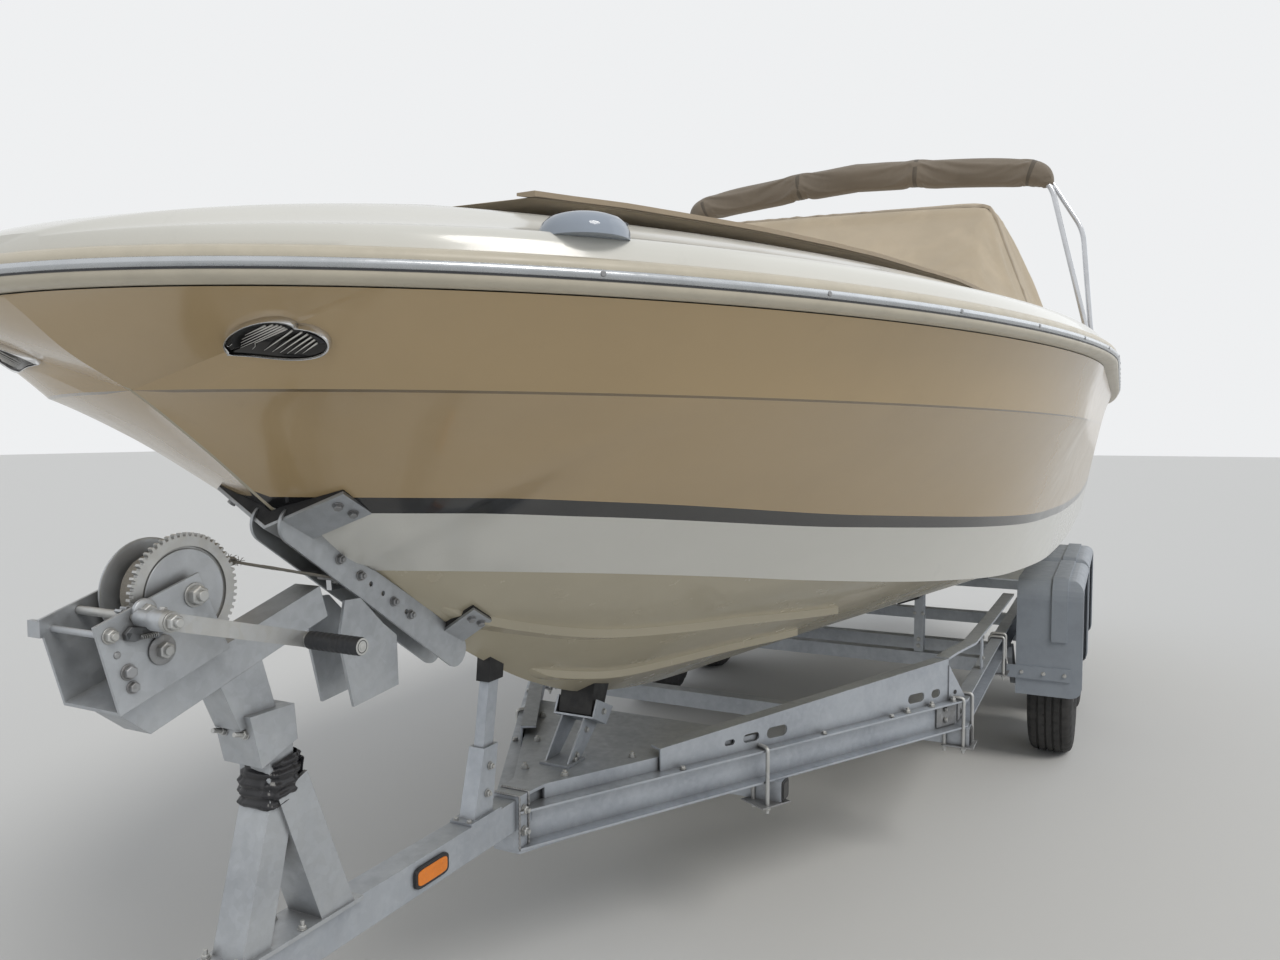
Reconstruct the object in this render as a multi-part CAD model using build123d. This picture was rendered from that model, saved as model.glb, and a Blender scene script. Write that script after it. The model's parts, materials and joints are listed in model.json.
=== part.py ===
"""Bowrider speedboat with a sterndrive, strapped down on its tandem-axle trailer.

Millimetres. +X points to the bow, +Y to port, +Z up. The origin is on the ground under the centre of the
whole outfit. Lengths along the boat are written as stations: the distance aft of the tip of the bow.
"""
from build123d import *
from math import atan2, cos, hypot, pi, radians, sin, sqrt
import os

os.makedirs("parts", exist_ok=True)

# Overall lengths
HULL_LENGTH = 6450
COUPLING_REACH = 1120
DRIVE_AXIS_STATION = 6600
PROP_SETBACK = 372
PROP_HUB_LENGTH = 120
DRIVE_REACH = DRIVE_AXIS_STATION + PROP_SETBACK + PROP_HUB_LENGTH
BOW_X = (DRIVE_REACH - COUPLING_REACH) / 2

# Hull
HALF_BEAM = 1255
BOW_FULLNESS = 2300
KNUCKLE_IN = 43
KNUCKLE_HALF_BEAM = HALF_BEAM - KNUCKLE_IN
KNUCKLE_START = 178
KNUCKLE_FULLNESS = 2220
TRANSOM_NARROWING = 55
NARROWING_START = 4200
SHEER_Z = 1605
KNUCKLE_BOW_Z = 1490
KNUCKLE_STERN_Z = 1462
CHINE_FLAT = 38
STRAKE_WIDTH = 46
STRAKE_DROP = 20
STRAKE_ROOT = 14

# Columns: station, height of the keel, half-breadth of the chine, height of the chine
HULL_STATIONS = [
    (20, 1588, 2, 1590),
    (80, 1540, 3, 1542),
    (180, 1484, 4, 1486),
    (300, 1398, 5, 1400),
    (450, 1280, 6, 1283),
    (620, 1160, 14, 1166),
    (800, 1042, 175, 1150),
    (1000, 922, 330, 1130),
    (1250, 800, 490, 1100),
    (1500, 715, 620, 1066),
    (2000, 630, 830, 1010),
    (2500, 590, 950, 972),
    (3200, 570, 1030, 956),
    (4200, 562, 1060, 958),
    (5400, 560, 1060, 960),
    (HULL_LENGTH, 560, 1045, 962),
]

# Columns: station, half-breadth of each strake's edge
STRAKES = [
    [(820, 60), (1200, 231), (1540, 440), (1870, 607)],
    [(1180, 40), (1500, 140), (1800, 343), (2000, 450)],
]

# Rub rail and deck
RAIL_OUT = 40
RAIL_HEIGHT = 50
RAIL_EASE = 12
DECK_EDGE_Z = 1690
DECK_EDGE_IN = 26
COAMING_IN = 190
COAMING_Z = 1738
CROWN_Z = 1752
FULL_DECK = 620

# Covers
BOW_COVER_FRONT = 400
BOW_COVER_AFT = 1960
BOW_COVER_GAP = 14
BOW_COVER_THICK = 16
# Columns: station, how far the hem and the shoulder stand in from the beam, shoulder height, middle height
COVER_SECTIONS = [
    (BOW_COVER_AFT + 5, 245, 355, 1782, 1800),
    (2380, 195, 325, 2128, 2152),
    (2700, 185, 320, 2120, 2150),
    (3500, 180, 375, 2010, 2080),
    (HULL_LENGTH - 1650, 195, 415, 1880, 1960),
    (HULL_LENGTH - 500, 255, 435, 1760, 1800),
]

# Bimini
BIMINI_STATION = 4450
BIMINI_SECOND_AFT = 28
BIMINI_TUBE_R = 12.5
BIMINI_BASE_Y = HALF_BEAM - 87
BIMINI_PIVOT_Z = 1778
BIMINI_TOP_Z = 2826
BIMINI_KNEE_Y = HALF_BEAM - 305
BIMINI_KNEE_Z = BIMINI_TOP_Z - 126
BIMINI_ELBOW_Y = HALF_BEAM - 143
BIMINI_ELBOW_Z = BIMINI_TOP_Z - 416
BOOT_LENGTH = 150
BOOT_ABOVE = 62
BOOT_BELOW = 108
HINGE_PIN_R = 5
HINGE_EAR = 5
HINGE_GAP = 1.5

# Stern
PLATFORM_LENGTH = 500
PLATFORM_HALF_WIDTH = 1040
PLATFORM_Z = 1195
PLATFORM_THICK = 70
TILT_AXIS_Z = 930
PROP_AXIS_Z = 385
PROP_R = 185
ENGINE_LENGTH = 900
ENGINE_WIDTH = 640
ENGINE_HEIGHT = 560

# Trailer frame
FRAME_TOP = 520
DRAWBAR_TOP = 548
DRAWBAR_DEPTH = 74
DRAWBAR_WIDTH = 60
RAIL_LEAD = 65
FRAME_LIFT = 90
TOP_GUSSET_AFT = 1850
DRAWBAR_FRONT = -820
DRAWBAR_AFT = 1780
RAIL_DEPTH = 96
RAIL_FLANGE = 46
RAIL_WALL = 6
RAIL_START = 1215
RAIL_BEND = 2620
RAIL_END = 6240
RAIL_HALF_GAUGE = 813
BEAM_SIZE = 60
CROSS_BEAMS = [1870, 2625, 3700, 6100]

# Running gear
AXLE_STATIONS = [4180, 4980]
AXLE_TUBE_AHEAD = 165
TYRE_R = 325
TYRE_WIDTH = 195
RIM_R = 178
WHEEL_Y = 1040
STUB_R = 21
GUARD_AHEAD = 398
GUARD_LENGTH = 792
GUARD_CORNER = 84
GUARD_EASE = 50
GUARD_LIP = 44
GUARD_TOP = 768
GUARD_BOTTOM = 258
GUARD_IN = 905
GUARD_OUT = 1175
GUARD_SKIN = 6
RIB_Y = 1080
RIB_HALF = 32
RIB_RISE = 9
RIB_LOW = 503

# Winch and bow stop
WINCH_HUB_STATION = 127
WINCH_HUB_Z = 1167
GEAR_MODULE = 3.2
GEAR_TEETH = 56
PINION_TEETH = 7
DRUM_R = 19
ROLL_R = 60
DRUM_FLANGE_R = 80
CRANK_ARM = 258
CRANK_PLANE_Y = 134
GRIP_LENGTH = 112
WINCH_CHEEK_Y = 58
CHEEK_THICK = 5
ARM_FRONT = (140, 1003)
ARM_AFT = (520, 1124)
ARM_SIZE = 60
ARM_TO_BASE = 8
STOP_FRONT = (452, 1267)
STOP_AFT = (893, 958)
STOP_BEAM = 69
STOP_PLATE = 6
WING_SLOPE = 28.8
UPPER_WIDTH = 78
LOWER_WIDTH = 72
WING_PLATE = 6
WING_RUBBER = 24
UPPER_VERTEX = (415, 1262)
UPPER_WING = (32, 150, 62)
LOWER_VERTEX = (852, 983)
LOWER_WING = (5, 110, 75)


def at(station, y=0, z=0):
    """A point given by its station, its side and its height."""
    return Vector(BOW_X - station, y, z)


def block(s0, s1, y0, y1, z0, z1):
    """A box between two stations, two sides and two heights."""
    centre = at((s0 + s1) / 2, (y0 + y1) / 2, (z0 + z1) / 2)
    return Pos(centre) * Box(abs(s1 - s0), abs(y1 - y0), abs(z1 - z0))


def side_prism(points, y0, y1):
    """An outline seen from the side, as station and height, spanning y0 to y1."""
    face = make_face(Polyline(*[at(s, y0, z) for s, z in points], close=True))
    return extrude(face, amount=y1 - y0, dir=(0, 1, 0))


def plan_prism(points, z0, z1):
    """An outline seen from above, as station and side, spanning z0 to z1."""
    face = make_face(Polyline(*[at(s, y, z0) for s, y in points], close=True))
    return extrude(face, amount=z1 - z0, dir=(0, 0, 1))


def across_prism(points, s0, s1):
    """An outline seen from the bow, as side and height, spanning two stations."""
    face = make_face(Polyline(*[at(s0, y, z) for y, z in points], close=True))
    return extrude(face, amount=s1 - s0, dir=(-1, 0, 0))


def rod(start, end, radius):
    """A round bar between two points."""
    along = end - start
    return Plane(origin=start, z_dir=along) * Cylinder(
        radius, along.length, align=(Align.CENTER, Align.CENTER, Align.MIN)
    )


def disc(station, z, y0, y1, radius):
    """A round piece on an axis across the boat."""
    return rod(at(station, y0, z), at(station, y1, z), radius)


def sloped(front, aft, depth, y0, y1):
    """A bar of rectangular section in the side view, its centre line from front to aft."""
    run = hypot(aft[0] - front[0], aft[1] - front[1])
    ns = -(aft[1] - front[1]) / run * depth / 2
    nz = (aft[0] - front[0]) / run * depth / 2
    corners = [
        (front[0] + ns, front[1] + nz),
        (aft[0] + ns, aft[1] + nz),
        (aft[0] - ns, aft[1] - nz),
        (front[0] - ns, front[1] - nz),
    ]
    return side_prism(corners, y0, y1)


def along(front, aft, distance, offset=0):
    """The station and height of a point on a sloping line, offset upwards square to it."""
    run = hypot(aft[0] - front[0], aft[1] - front[1])
    ds = (aft[0] - front[0]) / run
    dz = (aft[1] - front[1]) / run
    return front[0] + ds * distance - dz * offset, front[1] + dz * distance + ds * offset


def mirrored(shape):
    """The same piece on the starboard side."""
    return mirror(shape, about=Plane.XZ)


def pair(shape):
    return [shape, mirrored(shape)]


def solids_of(*shapes):
    found = []
    for shape in shapes:
        if isinstance(shape, (list, tuple)):
            found += solids_of(*shape)
        else:
            found += list(shape.solids())
    return found


# The wheels stand on the ground; everything else is drawn from a base that lies FRAME_LIFT above it
STANDING = ("tyre_", "wheel_", "jockey_leg", "jockey_fork", "jockey_wheel")


def save(node, *shapes):
    lift = 0 if node.startswith(STANDING) else FRAME_LIFT
    solids = [solid.moved(Location((0, 0, lift))) for solid in solids_of(*shapes)]
    export_step(Compound(children=solids), f"parts/{node}.step")


def ellipse_breadth(station, start, fullness, half_beam):
    """Half-breadth of a line that leaves the stem square and runs out to the full beam."""
    run = min(max((station - start) / fullness, 0), 1)
    return half_beam * sqrt(1 - (1 - run) ** 2)


def sheer_breadth(station):
    narrowing = max(station - NARROWING_START, 0) / (HULL_LENGTH - NARROWING_START)
    return ellipse_breadth(station, 0, BOW_FULLNESS, HALF_BEAM) - TRANSOM_NARROWING * narrowing ** 2


def knuckle_point(station):
    """Half-breadth and height of the knuckle line."""
    fall = min(station / BOW_FULLNESS, 1)
    height = KNUCKLE_BOW_Z + (KNUCKLE_STERN_Z - KNUCKLE_BOW_Z) * fall
    narrowing = max(station - NARROWING_START, 0) / (HULL_LENGTH - NARROWING_START)
    breadth = ellipse_breadth(station, KNUCKLE_START, KNUCKLE_FULLNESS, KNUCKLE_HALF_BEAM)
    return breadth - TRANSOM_NARROWING * narrowing ** 2, height


def hull_line(station):
    """Keel height, chine half-breadth and chine height at any station."""
    rows = HULL_STATIONS
    for low, high in zip(rows, rows[1:]):
        if station <= high[0]:
            share = (station - low[0]) / (high[0] - low[0])
            return [a + (b - a) * share for a, b in zip(low[1:], high[1:])]
    return list(rows[-1][1:])


def hull_half(station):
    """Side and height of each corner of the hull's section, from the keel up to the sheer."""
    keel_z, chine_y, chine_z = hull_line(station)
    flat = CHINE_FLAT * min(max((station - 620) / 1900, 0.02), 1)
    sheer_y = sheer_breadth(station)
    knuckle_y, knuckle_z = knuckle_point(station)
    if knuckle_z < chine_z + 12 or knuckle_y < chine_y + flat + 4:
        share = 0.45
        knuckle_z = chine_z + (SHEER_Z - chine_z) * share
        knuckle_y = chine_y + flat + (sheer_y - chine_y - flat) * share
    return [
        (0, keel_z),
        (chine_y, chine_z),
        (chine_y + flat, chine_z),
        (knuckle_y, knuckle_z),
        (sheer_y, SHEER_Z),
    ]


def section(station, half):
    """A closed face across the boat from the corners of its port half."""
    port = [at(station, y, z) for y, z in half]
    starboard = [at(station, -y, z) for y, z in reversed(half) if y > 0]
    return make_face(Polyline(*port, *starboard, close=True))


def bottom_height(station, y):
    keel_z, chine_y, chine_z = hull_line(station)
    return keel_z + (chine_z - keel_z) * y / chine_y


# The hull: a ruled skin over its sections, with the spray strakes under it
hull = loft([section(row[0], hull_half(row[0])) for row in HULL_STATIONS], ruled=True)


def strake(rows):
    """One lifting strake on the port side of the bottom, ending in a step."""
    faces = []
    for station, y in rows:
        taper = 0.3 if station == rows[0][0] else 1
        width = STRAKE_WIDTH * taper
        drop = STRAKE_DROP * taper
        inner = at(station, y - width, bottom_height(station, y - width) + STRAKE_ROOT)
        outer = at(station, y, bottom_height(station, y) + STRAKE_ROOT)
        edge = at(station, y, bottom_height(station, y) - drop)
        faces.append(make_face(Polyline(inner, outer, edge, close=True)))
    return loft(faces, ruled=True)


for rows in STRAKES:
    port_strake = strake(rows)
    hull = hull + port_strake + mirrored(port_strake)

engine_front = HULL_LENGTH - ENGINE_LENGTH - 120
engine_floor = 700
engine_block = block(
    engine_front, engine_front + ENGINE_LENGTH, -ENGINE_WIDTH / 2, ENGINE_WIDTH / 2,
    engine_floor, engine_floor + ENGINE_HEIGHT,
)
hull = hull - engine_block

# The deck moulding: its edge stands on the hull's flange, with a rounded shoulder and a crown
DECK_STATIONS = [row[0] for row in HULL_STATIONS]


def deck_half(station):
    breadth = sheer_breadth(station)
    scale = min(breadth / FULL_DECK, 1)
    rail_top = SHEER_Z + RAIL_HEIGHT
    rise = (DECK_EDGE_Z - rail_top) * (0.5 + 0.5 * scale)
    return [
        (0, SHEER_Z),
        (breadth, SHEER_Z),
        (breadth, rail_top),
        (breadth - DECK_EDGE_IN * 0.35 * scale, rail_top + rise * 0.65),
        (breadth - DECK_EDGE_IN * scale, rail_top + rise),
        (breadth - COAMING_IN * scale, rail_top + rise + (COAMING_Z - DECK_EDGE_Z) * scale),
        (0, rail_top + rise + (CROWN_Z - DECK_EDGE_Z) * scale),
    ]


def deck_section(station):
    half = deck_half(station)
    port = [at(station, y, z) for y, z in half]
    starboard = [at(station, -y, z) for y, z in reversed(half) if y > 0]
    return make_face(Polyline(*port, *starboard, close=True))


deck = loft([deck_section(station) for station in DECK_STATIONS], ruled=True)

# The rub rail runs round the sheer, outside the hull's flange and the deck's edge
outline = [at(s, sheer_breadth(s), SHEER_Z) for s in DECK_STATIONS]
inner_edge = outline + [Vector(p.X, -p.Y, p.Z) for p in reversed(outline)]
inner_face = make_face(Polyline(*inner_edge, close=True))


def outward(index):
    """Corner of the rail's outer edge, square to the sheer at one of its corners."""
    before = outline[max(index - 1, 0)]
    after = outline[min(index + 1, len(outline) - 1)]
    run = (after - before).normalized()
    return run, outline[index]


def rail_face(out, z):
    points = []
    for index in range(len(outline)):
        run, corner = outward(index)
        points.append(Vector(corner.X - run.Y * -out, corner.Y - run.X * out, z))
    points[0] = Vector(BOW_X + out - 20, outline[0].Y * 0.9, z)
    points[-1] = Vector(BOW_X - HULL_LENGTH, outline[-1].Y + out, z)
    ring = points + [Vector(p.X, -p.Y, p.Z) for p in reversed(points)]
    return make_face(Polyline(*ring, close=True))


rail_low = loft([rail_face(RAIL_OUT - RAIL_EASE, SHEER_Z), rail_face(RAIL_OUT, SHEER_Z + RAIL_EASE)], ruled=True)
rail_mid = loft(
    [rail_face(RAIL_OUT, SHEER_Z + RAIL_EASE), rail_face(RAIL_OUT, SHEER_Z + RAIL_HEIGHT - RAIL_EASE)], ruled=True
)
rail_high = loft(
    [
        rail_face(RAIL_OUT, SHEER_Z + RAIL_HEIGHT - RAIL_EASE),
        rail_face(RAIL_OUT - RAIL_EASE, SHEER_Z + RAIL_HEIGHT),
    ],
    ruled=True,
)
rub_rail = rail_low + rail_mid + rail_high
rub_rail = rub_rail - extrude(inner_face, amount=RAIL_HEIGHT + 1, dir=(0, 0, 1))

save("hull_shell", hull)
save("engine_block", engine_block)
save("rub_rail", rub_rail)


# Soft covers, as closed solids with their true outer shape
def bow_cover_breadth(station):
    return max(sheer_breadth(station) * 0.93 - 130, 60)


cover_bottom = COAMING_Z + BOW_COVER_GAP + 10
bow_edge = [(s, bow_cover_breadth(s)) for s in (BOW_COVER_FRONT + 20, 560, 800, 1100, 1500, BOW_COVER_AFT)]
bow_ring = bow_edge + [(s, -y) for s, y in reversed(bow_edge)]
bow_cover = plan_prism(bow_ring, cover_bottom, cover_bottom + BOW_COVER_THICK)
coaming_ring = [(s, y - 60) for s, y in bow_edge]
coaming_ring = [(coaming_ring[0][0] + 60, coaming_ring[0][1])] + coaming_ring[1:]
coaming_ring = coaming_ring + [(s, -y) for s, y in reversed(coaming_ring)]
bow_coaming = plan_prism(coaming_ring, COAMING_Z - 30, cover_bottom) - deck


def cover_section(row):
    station, hem_in, shoulder_in, shoulder_z, middle_z = row
    hem = HALF_BEAM - hem_in
    shoulder = HALF_BEAM - shoulder_in
    bottom = COAMING_Z + 4
    half = [
        (0, bottom),
        (hem, bottom),
        (hem - 4, bottom + 22),
        (shoulder, shoulder_z),
        (0, middle_z),
    ]
    port = [at(station, y, z) for y, z in half]
    starboard = [at(station, -y, z) for y, z in reversed(half) if y > 0]
    return make_face(Polyline(*port, *starboard, close=True))


cockpit_cover = loft([cover_section(row) for row in COVER_SECTIONS], ruled=True) - deck - bow_cover

deck = deck + bow_coaming
save("deck_moulding", deck)
save("bow_cover", bow_cover)
save("cockpit_cover", cockpit_cover)


# Bimini: two bent tubes hinged on deck mounts, furled in a fabric boot across the beam
def hoop(points, radii, aft):
    path = FilletPolyline(*[at(BIMINI_STATION + aft, y, z) for y, z in points], radius=radii)
    start = Plane(origin=path @ 0, z_dir=path % 0)
    return sweep(start * Circle(BIMINI_TUBE_R), path=path)


leg_foot = BIMINI_PIVOT_Z + 16
foot_y = BIMINI_BASE_Y
main_points = [(foot_y, leg_foot), (BIMINI_KNEE_Y, BIMINI_KNEE_Z), (0, BIMINI_TOP_Z)]
main_points += [(-y, z) for y, z in reversed(main_points[:2])]
second_points = [
    (foot_y, leg_foot),
    (BIMINI_ELBOW_Y, BIMINI_ELBOW_Z),
    (BIMINI_KNEE_Y - 10, BIMINI_KNEE_Z),
    (0, BIMINI_TOP_Z),
]
second_points += [(-y, z) for y, z in reversed(second_points[:3])]
crown_rise = BIMINI_TOP_Z - BIMINI_KNEE_Z
crown_radius = 0.5 * hypot(BIMINI_KNEE_Y, crown_rise) * BIMINI_KNEE_Y / crown_rise
main_bow = hoop(main_points, [180, crown_radius, 180], 0)
second_bow = hoop(second_points, [260, 150, crown_radius, 150, 260], BIMINI_SECOND_AFT)


foot_half = BIMINI_TUBE_R
foot_aft = BIMINI_SECOND_AFT + BIMINI_TUBE_R
foot = block(
    BIMINI_STATION - foot_half, BIMINI_STATION + foot_aft, foot_y - foot_half, foot_y + foot_half,
    BIMINI_PIVOT_Z - 16, leg_foot,
)
foot = foot - disc(BIMINI_STATION, BIMINI_PIVOT_Z, foot_y - 20, foot_y + 20, HINGE_PIN_R + 0.4)
main_bow = main_bow - foot - mirrored(foot)
second_bow = second_bow - foot - mirrored(foot)

ear_in = foot_half + HINGE_GAP
mount_base = block(
    BIMINI_STATION - 34, BIMINI_STATION + 34, foot_y - 40, foot_y + 40, COAMING_Z - 60, COAMING_Z - 18
) - deck
ears = []
for low, high in ((-ear_in - HINGE_EAR, -ear_in), (ear_in, ear_in + HINGE_EAR)):
    column = block(
        BIMINI_STATION - 12, BIMINI_STATION + 12, foot_y + low, foot_y + high, COAMING_Z - 18, BIMINI_PIVOT_Z
    )
    ears.append(column + disc(BIMINI_STATION, BIMINI_PIVOT_Z, foot_y + low, foot_y + high, 12))
hinge_mount = mount_base + ears[0] + ears[1]
hinge_mount = hinge_mount + disc(
    BIMINI_STATION, BIMINI_PIVOT_Z, foot_y - ear_in - HINGE_EAR - 4, foot_y + ear_in + HINGE_EAR + 4, HINGE_PIN_R
)

boot_outer = [
    (BIMINI_KNEE_Y + 28, BIMINI_KNEE_Z - 60),
    (BIMINI_KNEE_Y + 12, BIMINI_KNEE_Z + 30),
    (BIMINI_KNEE_Y - 70, BIMINI_KNEE_Z + BOOT_ABOVE + 22),
    (430, BIMINI_TOP_Z + BOOT_ABOVE - 52),
    (0, BIMINI_TOP_Z + BOOT_ABOVE - 20),
]
boot_inner = [
    (0, BIMINI_TOP_Z - BOOT_BELOW),
    (430, BIMINI_TOP_Z - BOOT_BELOW - 28),
    (BIMINI_KNEE_Y - 90, BIMINI_KNEE_Z - BOOT_BELOW + 52),
    (BIMINI_KNEE_Y - 32, BIMINI_KNEE_Z - 80),
]
boot_port = boot_outer + boot_inner
boot_half = across_prism(
    boot_port, BIMINI_STATION - BOOT_LENGTH / 2 + 14, BIMINI_STATION + BOOT_LENGTH / 2 + 14
)
bimini_boot = boot_half + mirrored(boot_half) - main_bow - second_bow

save("bimini_main_bow", main_bow, pair(foot))
save("bimini_second_bow", second_bow)
save("bimini_boot", bimini_boot)
save("bimini_mounts", pair(hinge_mount))

# Swim platform across the transom, with rounded corners, on two brackets
platform_aft = HULL_LENGTH + PLATFORM_LENGTH
platform = plan_prism(
    [
        (HULL_LENGTH, -PLATFORM_HALF_WIDTH),
        (HULL_LENGTH, PLATFORM_HALF_WIDTH),
        (platform_aft - 220, PLATFORM_HALF_WIDTH),
        (platform_aft - 60, PLATFORM_HALF_WIDTH - 90),
        (platform_aft, PLATFORM_HALF_WIDTH - 330),
        (platform_aft, -PLATFORM_HALF_WIDTH + 330),
        (platform_aft - 60, -PLATFORM_HALF_WIDTH + 90),
        (platform_aft - 220, -PLATFORM_HALF_WIDTH),
    ],
    PLATFORM_Z, PLATFORM_Z + PLATFORM_THICK,
)
knee = side_prism(
    [(HULL_LENGTH, PLATFORM_Z), (HULL_LENGTH + 330, PLATFORM_Z), (HULL_LENGTH, PLATFORM_Z - 190)], 560, 590
)
save("swim_platform", platform + knee + mirrored(knee))

# Sterndrive: gimbal housing, steering ring, tilting leg and propeller
ring_half = 150
ring_top = TILT_AXIS_Z + 125
ring_bottom = TILT_AXIS_Z - 125
lug_gap = 6
lug_r = 36
plate = block(HULL_LENGTH, HULL_LENGTH + 32, -190, 190, 690, 1130)
lugs = []
for low, high in ((ring_top + lug_gap, ring_top + lug_gap + 30), (ring_bottom - lug_gap - 30, ring_bottom - lug_gap)):
    arm = block(HULL_LENGTH + 32, DRIVE_AXIS_STATION, -lug_r, lug_r, low, high)
    nose = rod(at(DRIVE_AXIS_STATION, 0, low), at(DRIVE_AXIS_STATION, 0, high), lug_r)
    lugs.append(arm + nose)
gimbal_housing = plate + lugs[0] + lugs[1]
pin_r = 16
for low, high in ((ring_top - 22, ring_top + lug_gap), (ring_bottom - lug_gap, ring_bottom + 22)):
    gimbal_housing = gimbal_housing + rod(at(DRIVE_AXIS_STATION, 0, low), at(DRIVE_AXIS_STATION, 0, high), pin_r)

ring = block(
    DRIVE_AXIS_STATION - 36, DRIVE_AXIS_STATION + 36, -ring_half, ring_half, ring_bottom, ring_top
)
ring = ring - block(
    DRIVE_AXIS_STATION - 40, DRIVE_AXIS_STATION + 40, -ring_half + 34, ring_half - 34,
    ring_bottom + 28, ring_top - 28,
)
ring = ring - rod(
    at(DRIVE_AXIS_STATION, 0, ring_bottom - 10), at(DRIVE_AXIS_STATION, 0, ring_bottom + 24), pin_r + 0.6
)
ring = ring - rod(
    at(DRIVE_AXIS_STATION, 0, ring_top - 24), at(DRIVE_AXIS_STATION, 0, ring_top + 10), pin_r + 0.6
)
tilt_pin_r = 18
for side in (-1, 1):
    ring = ring + disc(DRIVE_AXIS_STATION, TILT_AXIS_Z, side * (ring_half - 34), side * (ring_half - 62), tilt_pin_r)
save("gimbal_housing", gimbal_housing)
save("gimbal_ring", ring)


def leg_section(z, nose, tail, half_width):
    """A streamlined section of the drive leg at one height."""
    points = [
        at(nose, 0, z),
        at(nose + (tail - nose) * 0.18, half_width * 0.85, z),
        at(nose + (tail - nose) * 0.42, half_width, z),
        at(nose + (tail - nose) * 0.75, half_width * 0.6, z),
        at(tail, 6, z),
    ]
    return make_face(Polyline(*points, *[Vector(p.X, -p.Y, p.Z) for p in reversed(points[1:])], close=True))


upper_half = ring_half - 34 - 14
head = disc(DRIVE_AXIS_STATION, TILT_AXIS_Z, -upper_half, upper_half, 72)
head = head + side_prism(
    [
        (DRIVE_AXIS_STATION, TILT_AXIS_Z - 84),
        (DRIVE_AXIS_STATION, TILT_AXIS_Z + 30),
        (DRIVE_AXIS_STATION + 105, TILT_AXIS_Z + 30),
        (DRIVE_AXIS_STATION + 170, TILT_AXIS_Z + 62),
        (DRIVE_AXIS_STATION + 205, TILT_AXIS_Z + 58),
        (DRIVE_AXIS_STATION + 228, TILT_AXIS_Z + 30),
        (DRIVE_AXIS_STATION + 228, TILT_AXIS_Z - 84),
    ],
    -upper_half + 8, upper_half - 8,
)
for side in (-1, 1):
    head = head - disc(
        DRIVE_AXIS_STATION, TILT_AXIS_Z, side * upper_half * 1.1, side * (ring_half - 64), tilt_pin_r + 0.6
    )
plate_z = PROP_AXIS_Z + PROP_R + 18
leg_top = TILT_AXIS_Z - 84
leg = loft(
    [
        leg_section(leg_top, DRIVE_AXIS_STATION + 46, DRIVE_AXIS_STATION + 228, 82),
        leg_section(plate_z, DRIVE_AXIS_STATION + 60, DRIVE_AXIS_STATION + 330, 44),
        leg_section(PROP_AXIS_Z, DRIVE_AXIS_STATION + 75, DRIVE_AXIS_STATION + 320, 34),
    ],
    ruled=True,
)
cavitation_plate = plan_prism(
    [
        (DRIVE_AXIS_STATION + 30, 0),
        (DRIVE_AXIS_STATION + 110, 90),
        (DRIVE_AXIS_STATION + 430, 120),
        (DRIVE_AXIS_STATION + 480, 90),
        (DRIVE_AXIS_STATION + 480, -90),
        (DRIVE_AXIS_STATION + 430, -120),
        (DRIVE_AXIS_STATION + 110, -90),
    ],
    plate_z, plate_z + 10,
)
prop_front = DRIVE_AXIS_STATION + PROP_SETBACK
torpedo_profile = [
    (DRIVE_AXIS_STATION + 10, 0),
    (DRIVE_AXIS_STATION + 30, 24),
    (DRIVE_AXIS_STATION + 90, 50),
    (DRIVE_AXIS_STATION + 190, 60),
    (prop_front - 6, 52),
    (prop_front - 6, 0),
]


def turned_along(profile, z):
    """A turned piece on an axis along the boat, from its station and radius."""
    face = make_face(Polyline(*[at(s, 0, z + r) for s, r in profile], close=True))
    return revolve(face, axis=Axis(at(0, 0, z), (1, 0, 0)), revolution_arc=360)


torpedo = turned_along(torpedo_profile, PROP_AXIS_Z)
skeg = side_prism(
    [
        (DRIVE_AXIS_STATION + 110, PROP_AXIS_Z - 40),
        (DRIVE_AXIS_STATION + 310, PROP_AXIS_Z - 40),
        (DRIVE_AXIS_STATION + 350, PROP_AXIS_Z - 190),
        (DRIVE_AXIS_STATION + 230, PROP_AXIS_Z - 190),
    ],
    -7, 7,
)
drive_leg = head + leg + cavitation_plate + torpedo + skeg
drive_leg = drive_leg - rod(
    at(prop_front - 60, 0, PROP_AXIS_Z), at(prop_front, 0, PROP_AXIS_Z), 14.5
)
save("drive_leg", drive_leg)

hub = turned_along(
    [(prop_front, 0), (prop_front, 50), (prop_front + PROP_HUB_LENGTH, 44), (prop_front + PROP_HUB_LENGTH, 0)], PROP_AXIS_Z
)
shaft = rod(at(prop_front - 56, 0, PROP_AXIS_Z), at(prop_front, 0, PROP_AXIS_Z), 14)
propeller = hub + shaft
blade_pitch = 32
for turn in (0, 120, 240):
    blade = Plane(
        origin=at(prop_front + 58, 0, PROP_AXIS_Z), x_dir=(1, 0, 0), z_dir=(0, 0, 1)
    ) * (Pos(0, 0, 40) * Rot(0, 0, blade_pitch) * Box(
        92, 9, PROP_R - 40 - 8, align=(Align.CENTER, Align.CENTER, Align.MIN)
    ))
    propeller = propeller + blade.rotate(Axis(at(0, 0, PROP_AXIS_Z), (1, 0, 0)), turn)
save("propeller", propeller)


# Trailer frame: drawbar, two bent side rails of channel section, cross beams under them
def offset_path(points, out):
    """A bent line in plan moved outwards by a distance, with its corners mitred."""
    moved = []
    for index, (station, y) in enumerate(points):
        normals = []
        for a, b in zip(points, points[1:]):
            if (station, y) in (a, b):
                run = hypot(b[0] - a[0], b[1] - a[1])
                normals.append((-(b[1] - a[1]) / run, (b[0] - a[0]) / run))
        ns = sum(n[0] for n in normals) / len(normals)
        ny = sum(n[1] for n in normals) / len(normals)
        scale = out / (ns * ns + ny * ny)
        moved.append((station + ns * scale, y + ny * scale))
    return moved


def strip(points, inner, outer):
    return offset_path(points, inner) + list(reversed(offset_path(points, outer)))


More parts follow.
